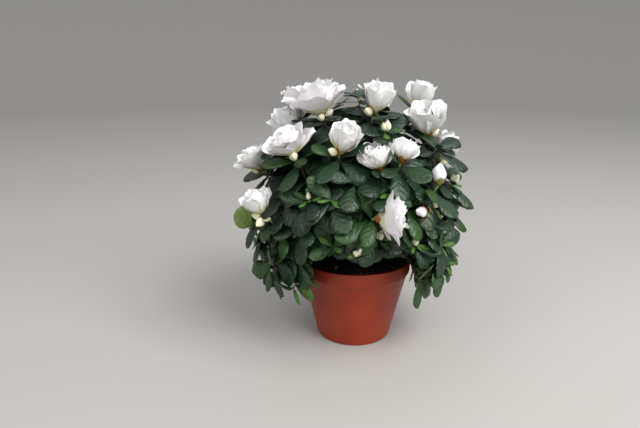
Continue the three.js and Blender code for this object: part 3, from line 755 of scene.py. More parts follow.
def leaf_pose(start, attempt):
    """One leaf's pose: it leans off its shoot's heading, droops, and turns its upper face up and
    out of the crown. A later attempt folds it up, turns it and makes it smaller."""
    ease = attempt / LEAF_TRIES

    def draw(purpose):
        return float(chance(start.index, purpose + 10 * attempt))

    turn = start.turn + 4 * ease * (draw(5) - 0.5)
    lean = math.radians(start.lean) * (1 - 0.6 * ease * draw(6))
    radial = radial_at(start.heading, turn)
    along = unit(start.heading * math.cos(lean) + (radial - UP * LEAF_DROOP) * math.sin(lean))
    facing = unit(start.heading + (0.5 * UP + 0.35 * start.look) * math.sin(lean) ** 2)
    level = unit(np.cross(along, facing))
    roll = 0.5 * (draw(7) - 0.5)
    side = level * math.cos(roll) + np.cross(level, along) * math.sin(roll)
    size = start.size * (0.86 + 0.14 * draw(8)) * (1 - 0.28 * ease)
    half = LEAF_HALF_WIDTH * start.breadth * size * (0.86 + 0.22 * float(chance(start.index, 9)))
    measures = {key: least + added * draw(purpose) for key, (least, added, purpose) in LEAF_MEASURES.items()}
    return SimpleNamespace(root=start.root, along=along, side=side, up=np.cross(side, along),
                           length=LEAF_LENGTH * size, half=half, green=start.green, **measures)


FAN_SHARES = np.array([[0.12, 0], [0.42, -0.62], [0.42, 0.62], [0.55, 0], [0.8, -0.8], [0.8, 0.8], [1, 0]])
FAN_CORNERS = np.array([[0, 1, 3], [1, 4, 3], [4, 6, 3], [0, 3, 2], [2, 3, 5], [3, 6, 5]])
FAN_EDGES = np.array([[0, 1], [1, 4], [4, 6], [6, 5], [5, 2], [2, 0], [0, 3], [3, 6]])


def leaf_fan(leaf):
    """Seven points of the leaf's bent middle surface: its root, middle, tip and margins."""
    t, v = FAN_SHARES[:, :1], FAN_SHARES[:, 1:]
    turn = leaf.bend * t
    ahead = leaf.length * np.sin(turn) / leaf.bend
    fall = leaf.length * (1 - np.cos(turn)) / leaf.bend
    return leaf.root + ahead * leaf.along + v * leaf.half * leaf.side - fall * leaf.up


def cross(a, b):
    """Cross product over the last axis, with less overhead than numpy's own for small arrays."""
    return np.stack([a[..., 1] * b[..., 2] - a[..., 2] * b[..., 1],
                     a[..., 2] * b[..., 0] - a[..., 0] * b[..., 2],
                     a[..., 0] * b[..., 1] - a[..., 1] * b[..., 0]], -1)


def edges_meet(starts, ways, corners):
    """Whether any edge passes through any triangle: where it meets the triangle's plane, both
    shares of the triangle's sides and the share of the edge itself lie within 0 and 1."""
    origin = corners[..., 0, :][None]
    one = corners[..., 1, :][None] - origin
    two = corners[..., 2, :][None] - origin
    ways = ways[:, None]
    offset = starts[:, None] - origin
    normal = cross(ways, two)
    size = np.einsum("etk,etk->et", one + 0 * normal, normal)
    size = np.where(np.abs(size) < 1e-9, 1e-9, size)
    u = np.einsum("etk,etk->et", offset, normal) / size
    turned_offset = cross(offset, one)
    v = np.einsum("etk,etk->et", ways + 0 * turned_offset, turned_offset) / size
    w = np.einsum("etk,etk->et", two + 0 * turned_offset, turned_offset) / size
    return bool(np.any((u >= 0) & (v >= 0) & (u + v <= 1) & (w >= 0) & (w <= 1)))


def crosses_any(fan, placed):
    """Whether a leaf's fan passes through any earlier leaf near it, or the other way round."""
    near = placed[np.linalg.norm(placed[:, 3] - fan[3], axis=1) < LEAF_LENGTH]
    if not len(near):
        return False
    own = fan[FAN_EDGES]
    others = near[:, FAN_EDGES].reshape(-1, 2, 3)
    return (edges_meet(own[:, 0], own[:, 1] - own[:, 0], near[:, FAN_CORNERS].reshape(-1, 3, 3))
            or edges_meet(others[:, 0], others[:, 1] - others[:, 0], fan[FAN_CORNERS]))


def spray_green(shoot):
    """The green of a spray, as a place in LEAF_GREENS: fresher low down, darker towards the top."""
    draw = chance(shoot.index, 20) + 0.9 * shoot.look[2]
    return int(np.searchsorted(GREEN_STEPS, draw))


def leaf_starts(shoot):
    """Where one shoot's leaves start: a rosette under the tip, leaves further back along the
    twig, and small young leaves round a tip that has no open flower."""
    green = spray_green(shoot)
    first_turn = 2 * math.pi * float(chance(shoot.index, 4))
    kinds = [("rosette", order) for order in range(shoot.leaves)]
    kinds += [("stem", order) for order in range(STEM_LEAVES)]
    if shoot.form in ("leafy", "bud") and shoot.look[2] > YOUNG_ABOVE:
        young = YOUNG_LEAVES if shoot.form == "bud" else int(YOUNG_LEAVES * chance(shoot.index, 22))
        kinds += [("young", order) for order in range(young)]
    starts = []
    for k, (kind, order) in enumerate(kinds):
        number = MOST_LEAVES_PER_SHOOT * shoot.index + k
        heading, root, tint, breadth = shoot.heading, shoot.tip, green, 1.0
        if kind == "rosette":
            root = shoot.tip - heading * (0.6 + LEAF_STEP * order)
            size = 1 - 0.24 * math.exp(-order / 1.6)
            lean = LEAF_LEAN + LEAF_LEAN_STEP * order
        elif kind == "stem":
            share = max(0.3, 1 - (STEM_LEAF_BACK + STEM_LEAF_STEP * order) / shoot.twig.length)
            root = curve_point(shoot.twig.curve, share)
            heading = curve_heading(shoot.twig.curve, share)
            size = STEM_LEAF_SIZE - 0.12 * order
            lean = STEM_LEAF_LEAN
        else:
            size = YOUNG_SIZE - 0.05 * order
            lean = YOUNG_LEAN - 8 * order
            tint = min(green, 1) if order == 0 else 0
            breadth = YOUNG_HALF_WIDTH
        if chance(number, 21) < LIGHTER_LEAF_SHARE and kind != "young":
            tint = max(1, tint - 1)
        starts.append(SimpleNamespace(
            index=number, look=shoot.look, heading=heading, root=root, lean=lean,
            turn=first_turn + k * GOLDEN_ANGLE, size=size, breadth=breadth, green=tint))
    return starts


def fits(fan, balls, placed):
    """Whether a leaf keeps clear of pot, opening, limbs, blooms and the leaves already placed."""
    return (clear_of_pot(fan) and clear_of_opening(fan) and clear_of_balls(fan[1:], balls)
            and not crosses_any(fan, placed))


def place_leaves(shoots, balls):
    """Tries each leaf in turn, a few times over, and gives it to its shoot where it fits."""
    placed = np.zeros((MOST_LEAVES_PER_SHOOT * len(shoots), len(FAN_SHARES), 3))
    count = 0
    for shoot in shoots:
        shoot.grown = []
        for start in leaf_starts(shoot):
            for attempt in range(LEAF_TRIES):
                leaf = leaf_pose(start, attempt)
                fan = leaf_fan(leaf)
                if fits(fan, balls, placed[:count]):
                    placed[count] = fan
                    count += 1
                    shoot.grown.append(leaf)
                    break


def turn_lime_leaf(leaves, balls):
    """Stands one leaf up at the crown's edge as a round lime leaf: the leaf whose root is nearest
    to the place that LIME_LEAF names, of those that keep clear of all others when so turned."""
    fans = np.array([leaf_fan(leaf) for leaf in leaves])
    along = unit(np.array(LIME_LEAF["along"]))
    side = unit(np.cross(along, np.array(LIME_LEAF["faces"])))
    shape = {key: LIME_LEAF[key] for key in ("length", "half", "bend", "green")}
    for k in np.argsort(np.linalg.norm(fans[:, 0] - np.array(LIME_LEAF["near"]), axis=1)):
        turned = SimpleNamespace(**{**vars(leaves[k]), **shape})
        turned.along, turned.side, turned.up = along, side, np.cross(side, along)
        fan = leaf_fan(turned)
        if fits(fan, balls, np.delete(fans, k, axis=0)):
            vars(leaves[k]).update(vars(turned))
            return


# Flowers, buds and their scales

def leaning_blade(root, heading, turn, lean, **shape):
    """A blade that leans off a heading, with its upper face turned to it."""
    radial = radial_at(heading, turn)
    along = heading * math.cos(lean) + radial * math.sin(lean)
    up = heading * math.sin(lean) - radial * math.cos(lean)
    return SimpleNamespace(root=root, along=along, side=np.cross(along, up), up=up, **shape)


def gather(items):
    """Arrays of what a list of blades or buds says, one for each property."""
    keys = [key for key, value in vars(items[0]).items() if isinstance(value, (float, int, np.ndarray))]
    return {key: np.array([getattr(item, key) for item in items], float) for key in keys}


def petals_of(flower):
    """Whorls of petals round a flower's heading: the inner ones are mostly shorter, and more
    crumpled. Each value swings by a share of its own about the whorl's."""
    petals = []
    for w, (count, length, half, tilt, bend, cup, swell) in enumerate(FLOWERS[flower.form]["whorls"]):
        for k in range(count):
            number = 300 * flower.index + 20 * w + k
            swing = [2 * float(chance(number, purpose)) - 1 for purpose in range(30, 38)]
            turn = flower.turn + w * GOLDEN_ANGLE + 2 * math.pi * k / count + 0.25 * swing[0]
            lean = math.radians(tilt + 4 * swing[1])
            size = flower.size * (1 + 0.10 * swing[2])
            radial = radial_at(flower.heading, turn)
            petals.append(leaning_blade(
                flower.foot + radial * (1.8 - 0.35 * w) + flower.heading * (CALYX_HEIGHT + 0.6 * w),
                flower.heading, turn, lean, length=length * size, half=half * size * (1 + 0.12 * swing[3]),
                bend=math.radians(bend * (1 + 0.3 * swing[4])), cup=cup * (1 + 0.5 * swing[5]),
                ruffle=(PETAL_RUFFLE + PETAL_RUFFLE_STEP * w) * size * (1 + 0.4 * swing[6]),
                waves=1.8 + 0.35 * swing[7], phase=6.3 * float(chance(number, 38)),
                twist=math.radians(PETAL_TWIST + PETAL_TWIST_STEP * w) * swing[5],
                swell=swell * (1 + 0.3 * swing[0]), blush=flower.blush))
    return petals


def scales_of(form, foot, heading, turn):
    """Papery bud scales that leave a ring of the form's girth and hug the foot of its bloom."""
    shape = BLOOMS[form]
    scales = []
    for k in range(shape["scales"]):
        number = 1000 * turn + k
        lean = math.radians(54 + 14 * float(chance(number, 40)))
        around = turn + 2 * math.pi * k / shape["scales"]
        length = shape["scale_length"] * (0.75 + 0.5 * float(chance(number, 41)))
        scales.append(leaning_blade(
            foot + radial_at(heading, around) * shape["girth"] - heading * 0.6, heading, around, lean,
            length=length, half=length * 0.32, bend=-0.8, fold=0.0, curl=-0.4,
            rise=0.7, close=0.9, ripple=0.15, waves=3.0, phase=6.3 * float(chance(number, 42))))
    return scales


def pod_points(pods, rings, around):
    """Closed buds: the radius is sin(pi t^0.92)^0.8 times the widest, with three furrows that
    wind round by the twist."""
    pose = {key: value[:, None, None] for key, value in gather(pods).items()}
    t = (np.arange(rings) + 0.5) / rings
    t = (0.5 - 0.5 * np.cos(np.pi * t))[None, :, None]
    angle = angles_round(around)[None, None]
    across = unit(np.cross(pose["heading"], UP))
    outward = np.cross(across, pose["heading"])
    winding = 3 * angle + 2 * np.pi * pose["twist"] * t + pose["turn"]
    furrows = 1 + 0.13 * np.sin(winding) * np.minimum(1, 2.5 * t)
    radius = pose["radius"] * np.sin(np.pi * t**0.92) ** 0.8 * furrows
    rise = pose["length"] * t + 0 * angle
    points = (pose["foot"] + pose["heading"] * rise[..., None]
              + (radius * np.cos(angle))[..., None] * across
              + (radius * np.sin(angle))[..., None] * outward)
    ends = pose["foot"][:, 0] + pose["heading"][:, 0] * pose["length"] * np.array([[0.0], [1.0]])
    body = points.reshape(len(pods), rings * around, 3)
    return np.concatenate([ends[:, :1], body, ends[:, 1:]], axis=1)


def make_blooms(shoots):
    """Petals, closed buds and scales of every shoot, with a few side buds below the flowers."""
    petals, pods, scales = [], [], []
    for shoot in shoots:
        turn = 2 * math.pi * float(chance(shoot.index, 6))
        if shoot.form in FLOWERS:
            flower = SimpleNamespace(index=shoot.index, form=shoot.form, foot=shoot.foot, turn=turn,
                                     size=shoot.bloom_size, heading=shoot.bloom,
                                     blush=bool(chance(shoot.index, 45) < BLUSH_SHARE))
            petals += petals_of(flower)
            pods += side_buds(shoot)
        elif shoot.form == "candle":
            pods.append(closed_bud("candle", shoot.foot, shoot.bloom, shoot.bloom_size, turn))
        elif shoot.form == "bud":
            pods += bud_cluster(shoot, turn)
        if shoot.form in FLOWERS or shoot.form == "candle":
            scales += scales_of(shoot.form, shoot.foot, shoot.bloom, turn)
    for pod in pods:
        if pod.form == "bud":
            scales += scales_of("bud", pod.foot, pod.heading, pod.turn)
    return petals, pods, scales


def closed_bud(form, foot, heading, size, turn):
    """One closed bud of a form in PODS."""
    shape = PODS[form]
    return SimpleNamespace(form=form, foot=foot, heading=heading, length=shape["height"] * size,
                           radius=shape["radius"] * size, twist=shape["twist"], turn=turn)


def side_buds(shoot):
    """Closed buds that leave the foot of a flower, each its own way."""
    buds = []
    for k, heading in enumerate(shoot.buds):
        size = 1.15 - 0.25 * float(chance(9 * shoot.index + k, 48))
        buds.append(closed_bud("bud", shoot.foot - shoot.bloom + 2 * heading, heading, size, k))
    return buds


def bud_cluster(shoot, turn):
    """One to three small closed buds that lean apart round the heading of a bloom."""
    count = 1 + int(MOST_BUDS * chance(shoot.index, 47))
    buds = []
    for k in range(count):
        around = turn + 2 * math.pi * k / max(count, 2)
        size = shoot.bloom_size * (1 - 0.22 * float(chance(9 * shoot.index + k, 48)))
        heading = unit(shoot.bloom + BUDS_APART * radial_at(shoot.bloom, around))
        buds.append(closed_bud("bud", shoot.foot - shoot.bloom, heading, size, around))
    return buds


# Materials, with colours as sRGB hex values

def linear(hex_colour):
    """Linear colour: each channel c is c/12.92 up to 0.04045, and ((c + 0.055)/1.055)^2.4 above."""
    channels = [int(hex_colour[k:k + 2], 16) / 255 for k in (1, 3, 5)]
    return (*[c / 12.92 if c <= 0.04045 else ((c + 0.055) / 1.055) ** 2.4 for c in channels], 1.0)


def new_material(name, colour, **values):
    """A material with its Principled shader's constants set on the shader's own sockets."""
    material = bpy.data.materials.new(name)
    material.use_nodes = True
    shader = material.node_tree.nodes["Principled BSDF"]
    shader.inputs["Base Color"].default_value = linear(colour)
    for key, value in values.items():
        shader.inputs[key.replace("_", " ")].default_value = value
    return material, material.node_tree, shader


def node(tree, kind, inputs=None, **settings):
    """Adds a node, sets its properties, and sets or links its inputs by name or number."""
    added = tree.nodes.new(kind)
    for key, value in settings.items():
        setattr(added, key, value)
    for key, value in (inputs or {}).items():
        if isinstance(value, bpy.types.NodeSocket):
            tree.links.new(value, added.inputs[key])
        else:
            added.inputs[key].default_value = value
    return added.outputs


def maths(tree, operation, *values):
    """The result of one operation on numbers or sockets."""
    return node(tree, "ShaderNodeMath", dict(enumerate(values)), operation=operation)[0]


def object_place(tree):
    """The point's place on the piece, in metres."""
    return node(tree, "ShaderNodeTexCoord")["Object"]


def pattern(tree, size_mm, detail=2.0, stretch=(1, 1, 1)):
    """Noise from 0 to 1 whose lumps are about that many millimetres across."""
    place = node(tree, "ShaderNodeMapping", {"Vector": object_place(tree), "Scale": stretch})["Vector"]
    return node(tree, "ShaderNodeTexNoise",
                {"Vector": place, "Scale": 1 / (size_mm * MM), "Detail": detail})["Fac"]


def mix_colours(tree, share, low, high):
    """A colour between two, by a share from 0 to 1."""
    return node(tree, "ShaderNodeMix", {"Factor": share, "A": linear(low), "B": linear(high)},
                data_type="RGBA")[2]


def ranged(tree, value, low, high):
    """A value from 0.3 to 0.7 spread over another range."""
    return node(tree, "ShaderNodeMapRange", {"Value": value, "From Min": 0.3, "From Max": 0.7,
                                             "To Min": low, "To Max": high})["Result"]


def relief(tree, shader, height, depth_mm):
    """Bump of a depth in millimetres on the shader."""
    bump = node(tree, "ShaderNodeBump", {"Height": height, "Distance": depth_mm * MM, "Strength": 1.0})
    tree.links.new(bump["Normal"], shader.inputs["Normal"])


def leaf_material(name, colour):
    """Azalea leaf: a waxy skin over sunken side veins, so its gloss is soft and broken up. The
    veins leave the midrib at a slant, and the margin turns down: the height is
    |sin(pi (5t - 1.3|v|))| - 4 |v|^6 over the leaf's own map, with puckers 3.5 mm across."""
    material, tree, shader = new_material(name, colour, Roughness=0.42, Specular_IOR_Level=0.38)
    surface_map = node(tree, "ShaderNodeUVMap", uv_map="surface")["UV"]
    surface = node(tree, "ShaderNodeSeparateXYZ", {"Vector": surface_map})
    outward = maths(tree, "ABSOLUTE", maths(tree, "MULTIPLY_ADD", surface["Y"], 2.0, -1.0))
    slant = maths(tree, "MULTIPLY", outward, -1.3 * math.pi)
    wave = maths(tree, "SINE", maths(tree, "MULTIPLY_ADD", surface["X"], 5 * math.pi, slant))
    margin = maths(tree, "POWER", outward, 6.0)
    ridge = maths(tree, "MULTIPLY_ADD", margin, -4.0, maths(tree, "ABSOLUTE", wave))
    relief(tree, shader, maths(tree, "MULTIPLY_ADD", pattern(tree, 3.5), 1.5, ridge), 0.3)
    tree.links.new(ranged(tree, pattern(tree, 6), 0.30, 0.50), shader.inputs["Roughness"])
    return material


def plain_material(name, colour, size_mm, depth_mm, **values):
    """A plain colour whose skin has small lumps of one size."""
    material, tree, shader = new_material(name, colour, **values)
    relief(tree, shader, pattern(tree, size_mm), depth_mm)
    return material


def petal_material(name, colour):
    """Azalea petal: thin and matt, so light soaks in, with fine crinkles about 2 mm apart."""
    return plain_material(name, colour, 2.0, 0.25, Roughness=0.55, Specular_IOR_Level=0.3,
                          Subsurface_Weight=0.15, Subsurface_Radius=(1.0, 1.0, 0.9), Subsurface_Scale=0.0006)


def mottled_material(name, low, high, size_mm, depth_mm, stretch=(1, 1, 1), **values):
    """Two tones in patches of one size, with relief from the same pattern."""
    material, tree, shader = new_material(name, low, **values)
    patches = pattern(tree, size_mm, 5.0, stretch)
    tree.links.new(mix_colours(tree, ranged(tree, patches, 0, 1), low, high), shader.inputs["Base Color"])
    relief(tree, shader, patches, depth_mm)
    return material


def pot_material():
    """Moulded polypropylene, terracotta coloured: a satin skin with faint level rings from the
    mould, almost 5 mm apart, and scuffs that dull it in patches. A wave node of scale 1 has
    20/(2 pi) waves in a metre."""
    material, tree, shader = new_material("moulded_polypropylene", POT_COLOUR, Specular_IOR_Level=0.35)
    cloud = pattern(tree, 30, 3.0)
    tree.links.new(mix_colours(tree, ranged(tree, cloud, 0, 1), POT_COLOUR, POT_COLOUR_PALE),
                   shader.inputs["Base Color"])
    tree.links.new(ranged(tree, pattern(tree, 7, 6.0), 0.33, 0.5), shader.inputs["Roughness"])
    scale = 2 * math.pi / (20 * MOULD_RING_SPACING * MM)
    wave = {"Vector": object_place(tree), "Scale": scale, "Distortion": 0.4}
    rings = node(tree, "ShaderNodeTexWave", wave, bands_direction="Z")["Fac"]
    relief(tree, shader, rings, 0.05)
    return material


# Pieces

def face_places(rings, around):
    """For each face of a skin: the ring below it, from 0 at the foot to `rings` at the tip, and
    its place round the skin."""
    between = np.repeat(np.arange(1, rings), around)
    row = np.concatenate([between, np.zeros(around, int), np.full(around, rings)])
    return row, np.tile(np.arange(around), rings + 1)


def make_pot():
    """The pot's wall, rim and floor as one profile turned round, then drilled for drainage."""
    def wall(height):
        """The outer radius as a plain number."""
        return float(pot_wall_radius(height))

    band = POT_HEIGHT - RIM_BAND_HEIGHT
    around = 144
    profile = [(0, 1.2), (24, 1.2), (25, 0.2), (POT_BASE_RADIUS - 1.4, 0), (POT_BASE_RADIUS - 0.4, 0.3),
               (POT_BASE_RADIUS, 1.2), (wall(5) + 0.25, 5), (wall(6), 6.4)]
    profile += [(wall(height), height) for height in np.linspace(10, band - 1.6, 14)]
    profile += [(wall(band) + 0.3, band - 0.3), (wall(band) + RIM_STEP, band + 0.8),
                (wall(band + 2) + 0.1, band + 2.2)]
    profile += [(wall(height), height) for height in np.linspace(band + 4, POT_HEIGHT - 3.2, 4)]
    lip = POT_WALL / 2 + 0.25
    profile += [(POT_RIM_RADIUS - lip + lip * math.cos(a), POT_HEIGHT - lip + lip * math.sin(a))
                for a in np.radians(np.linspace(-30, 210, 13))]
    profile += [(wall(band + 4) - POT_WALL, band + 4), (wall(band + 1) - POT_WALL - 0.4, band + 1),
                (wall(band) - POT_WALL, band - 1.5), (wall(40) - POT_WALL, 40),
                (wall(POT_FLOOR) - POT_WALL - 1.5, POT_FLOOR + 1.5),
                (wall(POT_FLOOR) - POT_WALL - 3, POT_FLOOR), (0, POT_FLOOR)]
    shell = part_of(turned(profile, around), skin(len(profile) - 2, around))
    pot = make_piece("pot_shell", [shell], [pot_material()], sharp=40)
    angle = angles_round(DRAIN_HOLES)
    middle = np.stack([DRAIN_CIRCLE * np.cos(angle), DRAIN_CIRCLE * np.sin(angle), 0 * angle], -1)
    heights = np.linspace(-2, POT_FLOOR + 2, 4)
    bars = tubes(middle[:, None] + heights[None, :, None] * UP, np.full((DRAIN_HOLES, 4), DRAIN_RADIUS), 24)
    drill = make_piece("drill", [part_of(bars, skin(4, 24))], [])
    cut = pot.modifiers.new("drain_holes", "BOOLEAN")
    cut.object = drill
    cut.solver = "EXACT"
    bpy.context.view_layer.update()
    drilled = bpy.data.meshes.new_from_object(pot.evaluated_get(bpy.context.evaluated_depsgraph_get()))
    pot.modifiers.clear()
    pot.data = drilled
    bpy.data.objects.remove(drill)
    return pot


def soil_height(points):
    """Level round the trunk and sloping a little to the edge, with crumbs of three sizes."""
    out = np.hypot(points[..., 0], points[..., 1])
    slope = SOIL_EDGE_DROP * np.clip((out - SOIL_LEVEL_RADIUS) / SOIL_SLOPE_WIDTH, 0, 1) ** 1.5
    crumbs = sum(high * noise(points, size, seed) for size, high, seed in CRUMB_SIZES)
    return SOIL_TOP - slope + crumbs * np.clip((CRUMB_EDGE_RADIUS - out) / CRUMB_EDGE_WIDTH, 0.2, 1)


def make_peat():
    """Peat that fills the pot under a crumbled top, and loose crumbs, bark chips and grit on it."""
    def inner(height):
        """The peat's radius, a gap inside the pot's wall."""
        return float(pot_wall_radius(height)) - POT_WALL - GAP

    around, rings = 180, 56
    edge = inner(POT_HEIGHT - RIM_BAND_HEIGHT) - 0.1
    top = SOIL_TOP - SOIL_EDGE_DROP
    side = [(0, SOIL_BOTTOM), (inner(SOIL_BOTTOM) - 3, SOIL_BOTTOM), (inner(8) - 0.4, 8),
            (edge, 78), (edge, top)]
    level = [(edge * (1 - (k + 1) / (rings + 1)), top) for k in range(rings)]
    body = turned(side + level + [(0, top)], around)
    crumbled = body[:, 1 + 4 * around:]
    crumbled[..., 2] = soil_height(crumbled)
    k = np.arange(LOOSE_CRUMBS)
    out = (edge - 3) * np.sqrt((k + 0.5) / LOOSE_CRUMBS)
    middle = np.stack([out * np.cos(k * GOLDEN_ANGLE), out * np.sin(k * GOLDEN_ANGLE), 0 * out], -1)
    size = 0.6 + 1.5 * chance(k, 60) ** 3
    middle[:, 2] = soil_height(middle) + 0.3 * size
    polar = np.radians(np.linspace(0, 180, 6))
    ball = turned(np.stack([np.sin(polar), -np.cos(polar)], -1), 7)
    lumps = middle[:, None] + ball * size[:, None, None]
    lumps = lumps + (0.45 * size)[:, None, None] * ball * noise(lumps, 1.6, 7)[..., None]
    kind = np.searchsorted([0.86, 0.97], chance(k, 61))[:, None]
    materials = [
        mottled_material("moist_peat", "#1d1612", "#382a20", 1.8, 0.8, Roughness=0.92),
        plain_material("bark_chip", "#4b3626", 0.8, 0.3, Roughness=0.85),
        plain_material("grit", "#a59a86", 0.8, 0.2, Roughness=0.8),
    ]
    parts = [part_of(body, skin(len(side) + rings - 1, around)), part_of(lumps, skin(4, 7), finish=kind)]
    return make_piece("peat_fill", parts, materials)


def rugged(centres, radii, around, furrow_mm, depth):
    """A limb's skin with bark relief: its radius varies by noise that is drawn out three times
    along the limb, as bark's furrows are."""
    heading = np.cumsum(np.linalg.norm(np.diff(centres, axis=1, prepend=centres[:, :1]), axis=-1), axis=1)
    angle = angles_round(around)
    place = np.stack(np.broadcast_arrays(
        radii[..., None] * np.cos(angle), radii[..., None] * np.sin(angle),
        heading[..., None] / 3 + 50 * np.arange(len(centres))[:, None, None]), -1)
    bark = noise(place, furrow_mm, 3) + 0.5 * noise(place, furrow_mm / 2.3, 4)
    return tubes(centres, radii[..., None] * (1 + depth * bark), around)


def make_trunk():
    """The trunk from just under the crumbs of the peat to its rounded top."""
    share = np.linspace(0, 1, 80)
    centres = curve_point(TRUNK_CURVE, share)[None]
    centres[0, 0, 2] -= 2
    rounding = np.clip(1 - ((share - 0.97) / 0.03) ** 2, 0.05, 1) ** (share > 0.97)
    radii = trunk_radius(share) * np.sqrt(rounding)
    bark = mottled_material("azalea_bark", "#4a3829", "#7d6851", 2.5, 0.5, (1, 1, 0.35), Roughness=0.85)
    points = rugged(centres, radii[None], 44, 2.6, 0.09)
    return make_piece("trunk_bark", [part_of(points, skin(80, 44))], [bark]), bark


def make_boughs(masses, bark):
    """Every bough from inside the trunk, through its stub, to the tip where its twigs begin."""
    share = np.linspace(0, 1, 36)
    centres = np.array([np.concatenate([
        mass.fork + np.linspace(0.15, 0.95, 9)[:, None] * (mass.bough[0] - mass.fork),
        curve_point(mass.bough, share)]) for mass in masses])
    along = np.linspace(0, 1, centres.shape[1])
    radii = BOUGH_RADIUS + 1.1 * np.exp(-along / 0.07) + (BOUGH_TIP_RADIUS - BOUGH_RADIUS) * along
    points = rugged(centres, np.broadcast_to(radii, centres.shape[:2]), 18, 2.0, 0.10)
    return make_piece("bough_bark", [part_of(points, skin(centres.shape[1], 18))], [bark])


def make_twigs(masses, bark):
    """Twigs that thin from their root to the shoot tip: bark on older ones, green-brown skin on
    the young, and a short green stalk that turns up to each bloom."""
    twigs = [twig for mass in masses for twig in mass.twigs]
    share = np.linspace(0, 1, 9)
    curves = np.array([twig.curve for twig in twigs])
    centres = curve_point(curves[:, None], share[None])
    feeds = np.array([twig.feeds for twig in twigs], float)[:, None]
    start = np.minimum(BOUGH_TIP_RADIUS, TWIG_RADIUS * feeds**TWIG_GROWTH)
    radii = start + (TWIG_RADIUS - start) * share
    finish = (feeds < OLD_TWIG_FEEDS).astype(int)
    bends = np.array([[shoot.tip - shoot.heading, shoot.tip + shoot.heading, shoot.foot - shoot.bloom,
                       shoot.foot + shoot.bloom] for shoot in (twig.shoot for twig in twigs)
                      if shoot.form in BLOOMS])
    stalks = tubes(curve_point(bends[:, None], share[None, ::2]), np.full((len(bends), 5), STALK_RADIUS), 6)
    young = plain_material("young_twig_skin", "#6f6a3a", 1.5, 0.2, Roughness=0.7)
    green = plain_material("flower_stalk", "#8a9a4c", 1.2, 0.15, Roughness=0.6)
    return make_piece("twigs", [part_of(tubes(centres, radii, 6), skin(9, 6), finish=finish),
                                part_of(stalks, skin(5, 6), finish=2)], [bark, young, green])


def make_leaves(name, leaves):
    """One piece of leaves: each its spray's green above, and paler below."""
    upper = [-0.5, 0, 0.5]
    grid = blade_grid(LEAF_RINGS, upper, [0])
    points = blades(grid, gather(leaves), LEAF_THICKNESS)
    _, column = face_places(grid.rings, grid.around)
    greens = np.array([leaf.green for leaf in leaves])[:, None]
    finish = np.where(column <= len(upper), greens, len(LEAF_GREENS))
    uv = np.stack([grid.t, (grid.v + 1) / 2], -1)
    return make_piece(name, [part_of(points, skin(grid.rings, grid.around), finish, uv)],
                      [*LEAF_GREENS, UNDERSIDE])


def make_flowers(petals, pods, scales):
    """Three pieces: petals, closed buds, and papery brown and green scales. Petals are cream at
    the foot and white above, some with a blush between. Buds are greenish at the foot and cream
    above, and candles are white from their third ring up."""
    rows, columns = PETAL_ROWS - 1, PETAL_COLUMNS - 1
    row = np.tile(np.repeat(np.arange(rows), columns), 2)
    blush = np.array([petal.blush for petal in petals])[:, None]
    finish = np.where(row < 1, CREAM, np.where(blush & (row < 3), BLUSH, WHITE))
    points = petal_blades(petal_grid(PETAL_ROWS, PETAL_COLUMNS), gather(petals), PETAL_THICKNESS)
    faces = sheet(PETAL_ROWS, PETAL_COLUMNS)
    open_petals = make_piece("petals", [part_of(points, faces, finish)], PETAL_COLOURS)
    rings, around = 9, 12
    row, _ = face_places(rings, around)
    white_from = np.array([3 if pod.form == "candle" else rings + 1 for pod in pods])[:, None]
    finish = np.where(row < 2, THROAT, np.where(row < white_from, CREAM, WHITE))
    points = pod_points(pods, rings, around)
    closed = make_piece("flower_buds", [part_of(points, skin(rings, around), finish)], PETAL_COLOURS)
    grid = blade_grid(5, [-0.5, 0.5], [0])
    brown = mottled_material("papery_bud_scale", "#5e3617", "#a86e2c", 1.6, 0.15, Roughness=0.6)
    green = plain_material("green_bud_scale", "#8b8f3f", 1.6, 0.15, Roughness=0.6)
    points = blades(grid, gather(scales), SCALE_THICKNESS)
    fresh = (np.arange(len(scales)) % 3 == 1).astype(int)[:, None]
    faces = skin(grid.rings, grid.around)
    papery = make_piece("bud_scales", [part_of(points, faces, fresh)], [brown, green])
    return open_petals, closed, papery


# Growing the plant

LEAF_GREENS = [leaf_material(f"{green}_azalea_leaf", colour) for green, colour in (
    ("fresh", "#426628"), ("green", "#27431c"), ("dark", "#1d331d"),
    ("old", "#19291c"), ("lime", "#6b8040"))]
UNDERSIDE = plain_material("leaf_underside", "#364d2d", 1.2, 0.2, Roughness=0.65)
PETAL_COLOURS = [petal_material(name, colour) for name, colour in (
    ("petal_throat", "#cfd092"), ("petal_cream", "#e3e1c2"),
    ("white_petal", "#f0efee"), ("blushing_petal", "#efebed"))]
THROAT, CREAM, WHITE, BLUSH = range(len(PETAL_COLOURS))

masses = make_masses()
for mass in masses:
    set_limbs(mass)
shoots = make_shoots()
for shoot in shoots:
    max(masses, key=lambda mass: float(mass.look @ shoot.look)).shoots.append(shoot)
for mass in masses:
    grow_twigs(mass)
balls = np.concatenate([limb_balls(masses), bloom_balls(shoots)])
place_leaves(shoots, balls)
turn_lime_leaf([leaf for shoot in shoots for leaf in shoot.grown], balls)

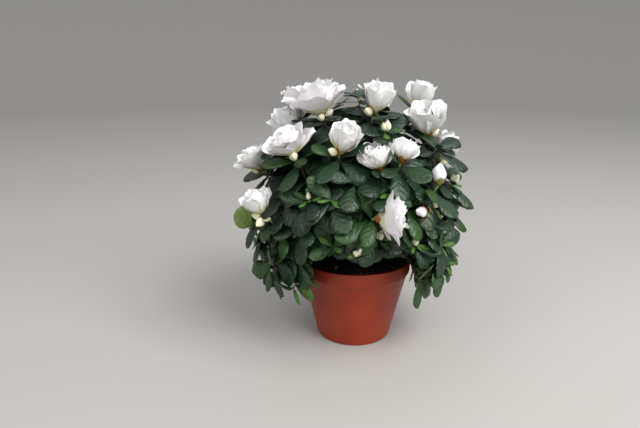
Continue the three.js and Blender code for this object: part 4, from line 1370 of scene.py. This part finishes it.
trunk, bark = make_trunk()
petals, closed_buds, bud_scales = make_flowers(*make_blooms(shoots))
dressing = [
    (make_pot(), "pot_plastic", ["pot"]),
    (make_peat(), "peat", ["soil"]),
    (trunk, "bark", ["trunk"]),
    (make_boughs(masses, bark), "bark", [f"bough_{mass.name}" for mass in masses]),
    (make_twigs(masses, bark), "bark", []),
    (petals, "petals", []),
    (closed_buds, "petals", []),
    (bud_scales, "bud_scales", []),
]
for tier in TIERS:
    own = [mass for mass in masses if mass.tier is tier]
    leaves = make_leaves(f"leaves_{tier['name']}",
                         [leaf for mass in own for shoot in mass.shoots for leaf in shoot.grown])
    dressing.append((leaves, "foliage", [f"foliage_{mass.name}" for mass in own]))
for piece, slot, nodes in dressing:
    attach(piece, "root")
    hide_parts(*nodes)


# Stage: a pale floor that curves up all round, soft studio light and the photograph's camera

def make_floor():
    """A wide round floor whose edge curves up as a quarter circle. Its faces look up, so they are
    those of an open skin turned inside out."""
    around = 96
    profile = [(500, 0), (FLOOR_RADIUS, 0)]
    profile += [(FLOOR_RADIUS + COVE_RADIUS * math.sin(a), COVE_RADIUS * (1 - math.cos(a)))
                for a in np.radians(np.linspace(7.5, 90, 12))]
    points = turned([(0, 0), *profile, (0, 0)], around)[0, :-1] * MM
    quads, ends = skin(len(profile), around)
    mesh = bpy.data.meshes.new("floor")
    mesh.from_pydata(points.tolist(), [], [*ends[:around, ::-1].tolist(), *quads[:, ::-1].tolist()])
    mesh.polygons.foreach_set("use_smooth", [True] * len(mesh.polygons))
    mesh.materials.append(plain_material("pale_floor", "#a8a5a1", 4.0, 0.02, Roughness=0.7))
    new_object("floor", mesh)


def soft_light(name, place, watts):
    """A square soft box that faces the middle of the plant."""
    light = bpy.data.lights.new(name, "AREA")
    light.size = SOFT_BOX_SIZE
    light.energy = watts
    lamp = new_object(name, light)
    lamp.location = place
    aim = np.array(SOFT_BOX_AIM) - np.array(place)
    tilt = math.acos(-aim[2] / np.linalg.norm(aim))
    lamp.rotation_euler = (tilt, 0, math.atan2(aim[1], aim[0]) - math.pi / 2)


def make_stage():
    """Floor, world light, soft boxes and the camera."""
    make_floor()
    scene = bpy.context.scene
    world = bpy.data.worlds.new("studio")
    world.use_nodes = True
    background = world.node_tree.nodes["Background"]
    background.inputs["Color"].default_value = linear("#f3f5f8")
    background.inputs["Strength"].default_value = WORLD_STRENGTH
    scene.world = world
    for name, place, watts in SOFT_BOXES:
        soft_light(name, place, watts)
    camera_data = bpy.data.cameras.new("photo_camera")
    camera_data.lens = CAMERA_LENS
    camera_data.sensor_width = CAMERA_SENSOR
    camera = new_object("photo_camera", camera_data)
    camera.location = [value * MM for value in CAMERA_PLACE]
    camera.rotation_euler = (math.radians(90 - CAMERA_PITCH), 0, 0)
    scene.camera = camera
    scene.view_settings.view_transform = "Standard"


make_stage()
bpy.context.view_layer.update()
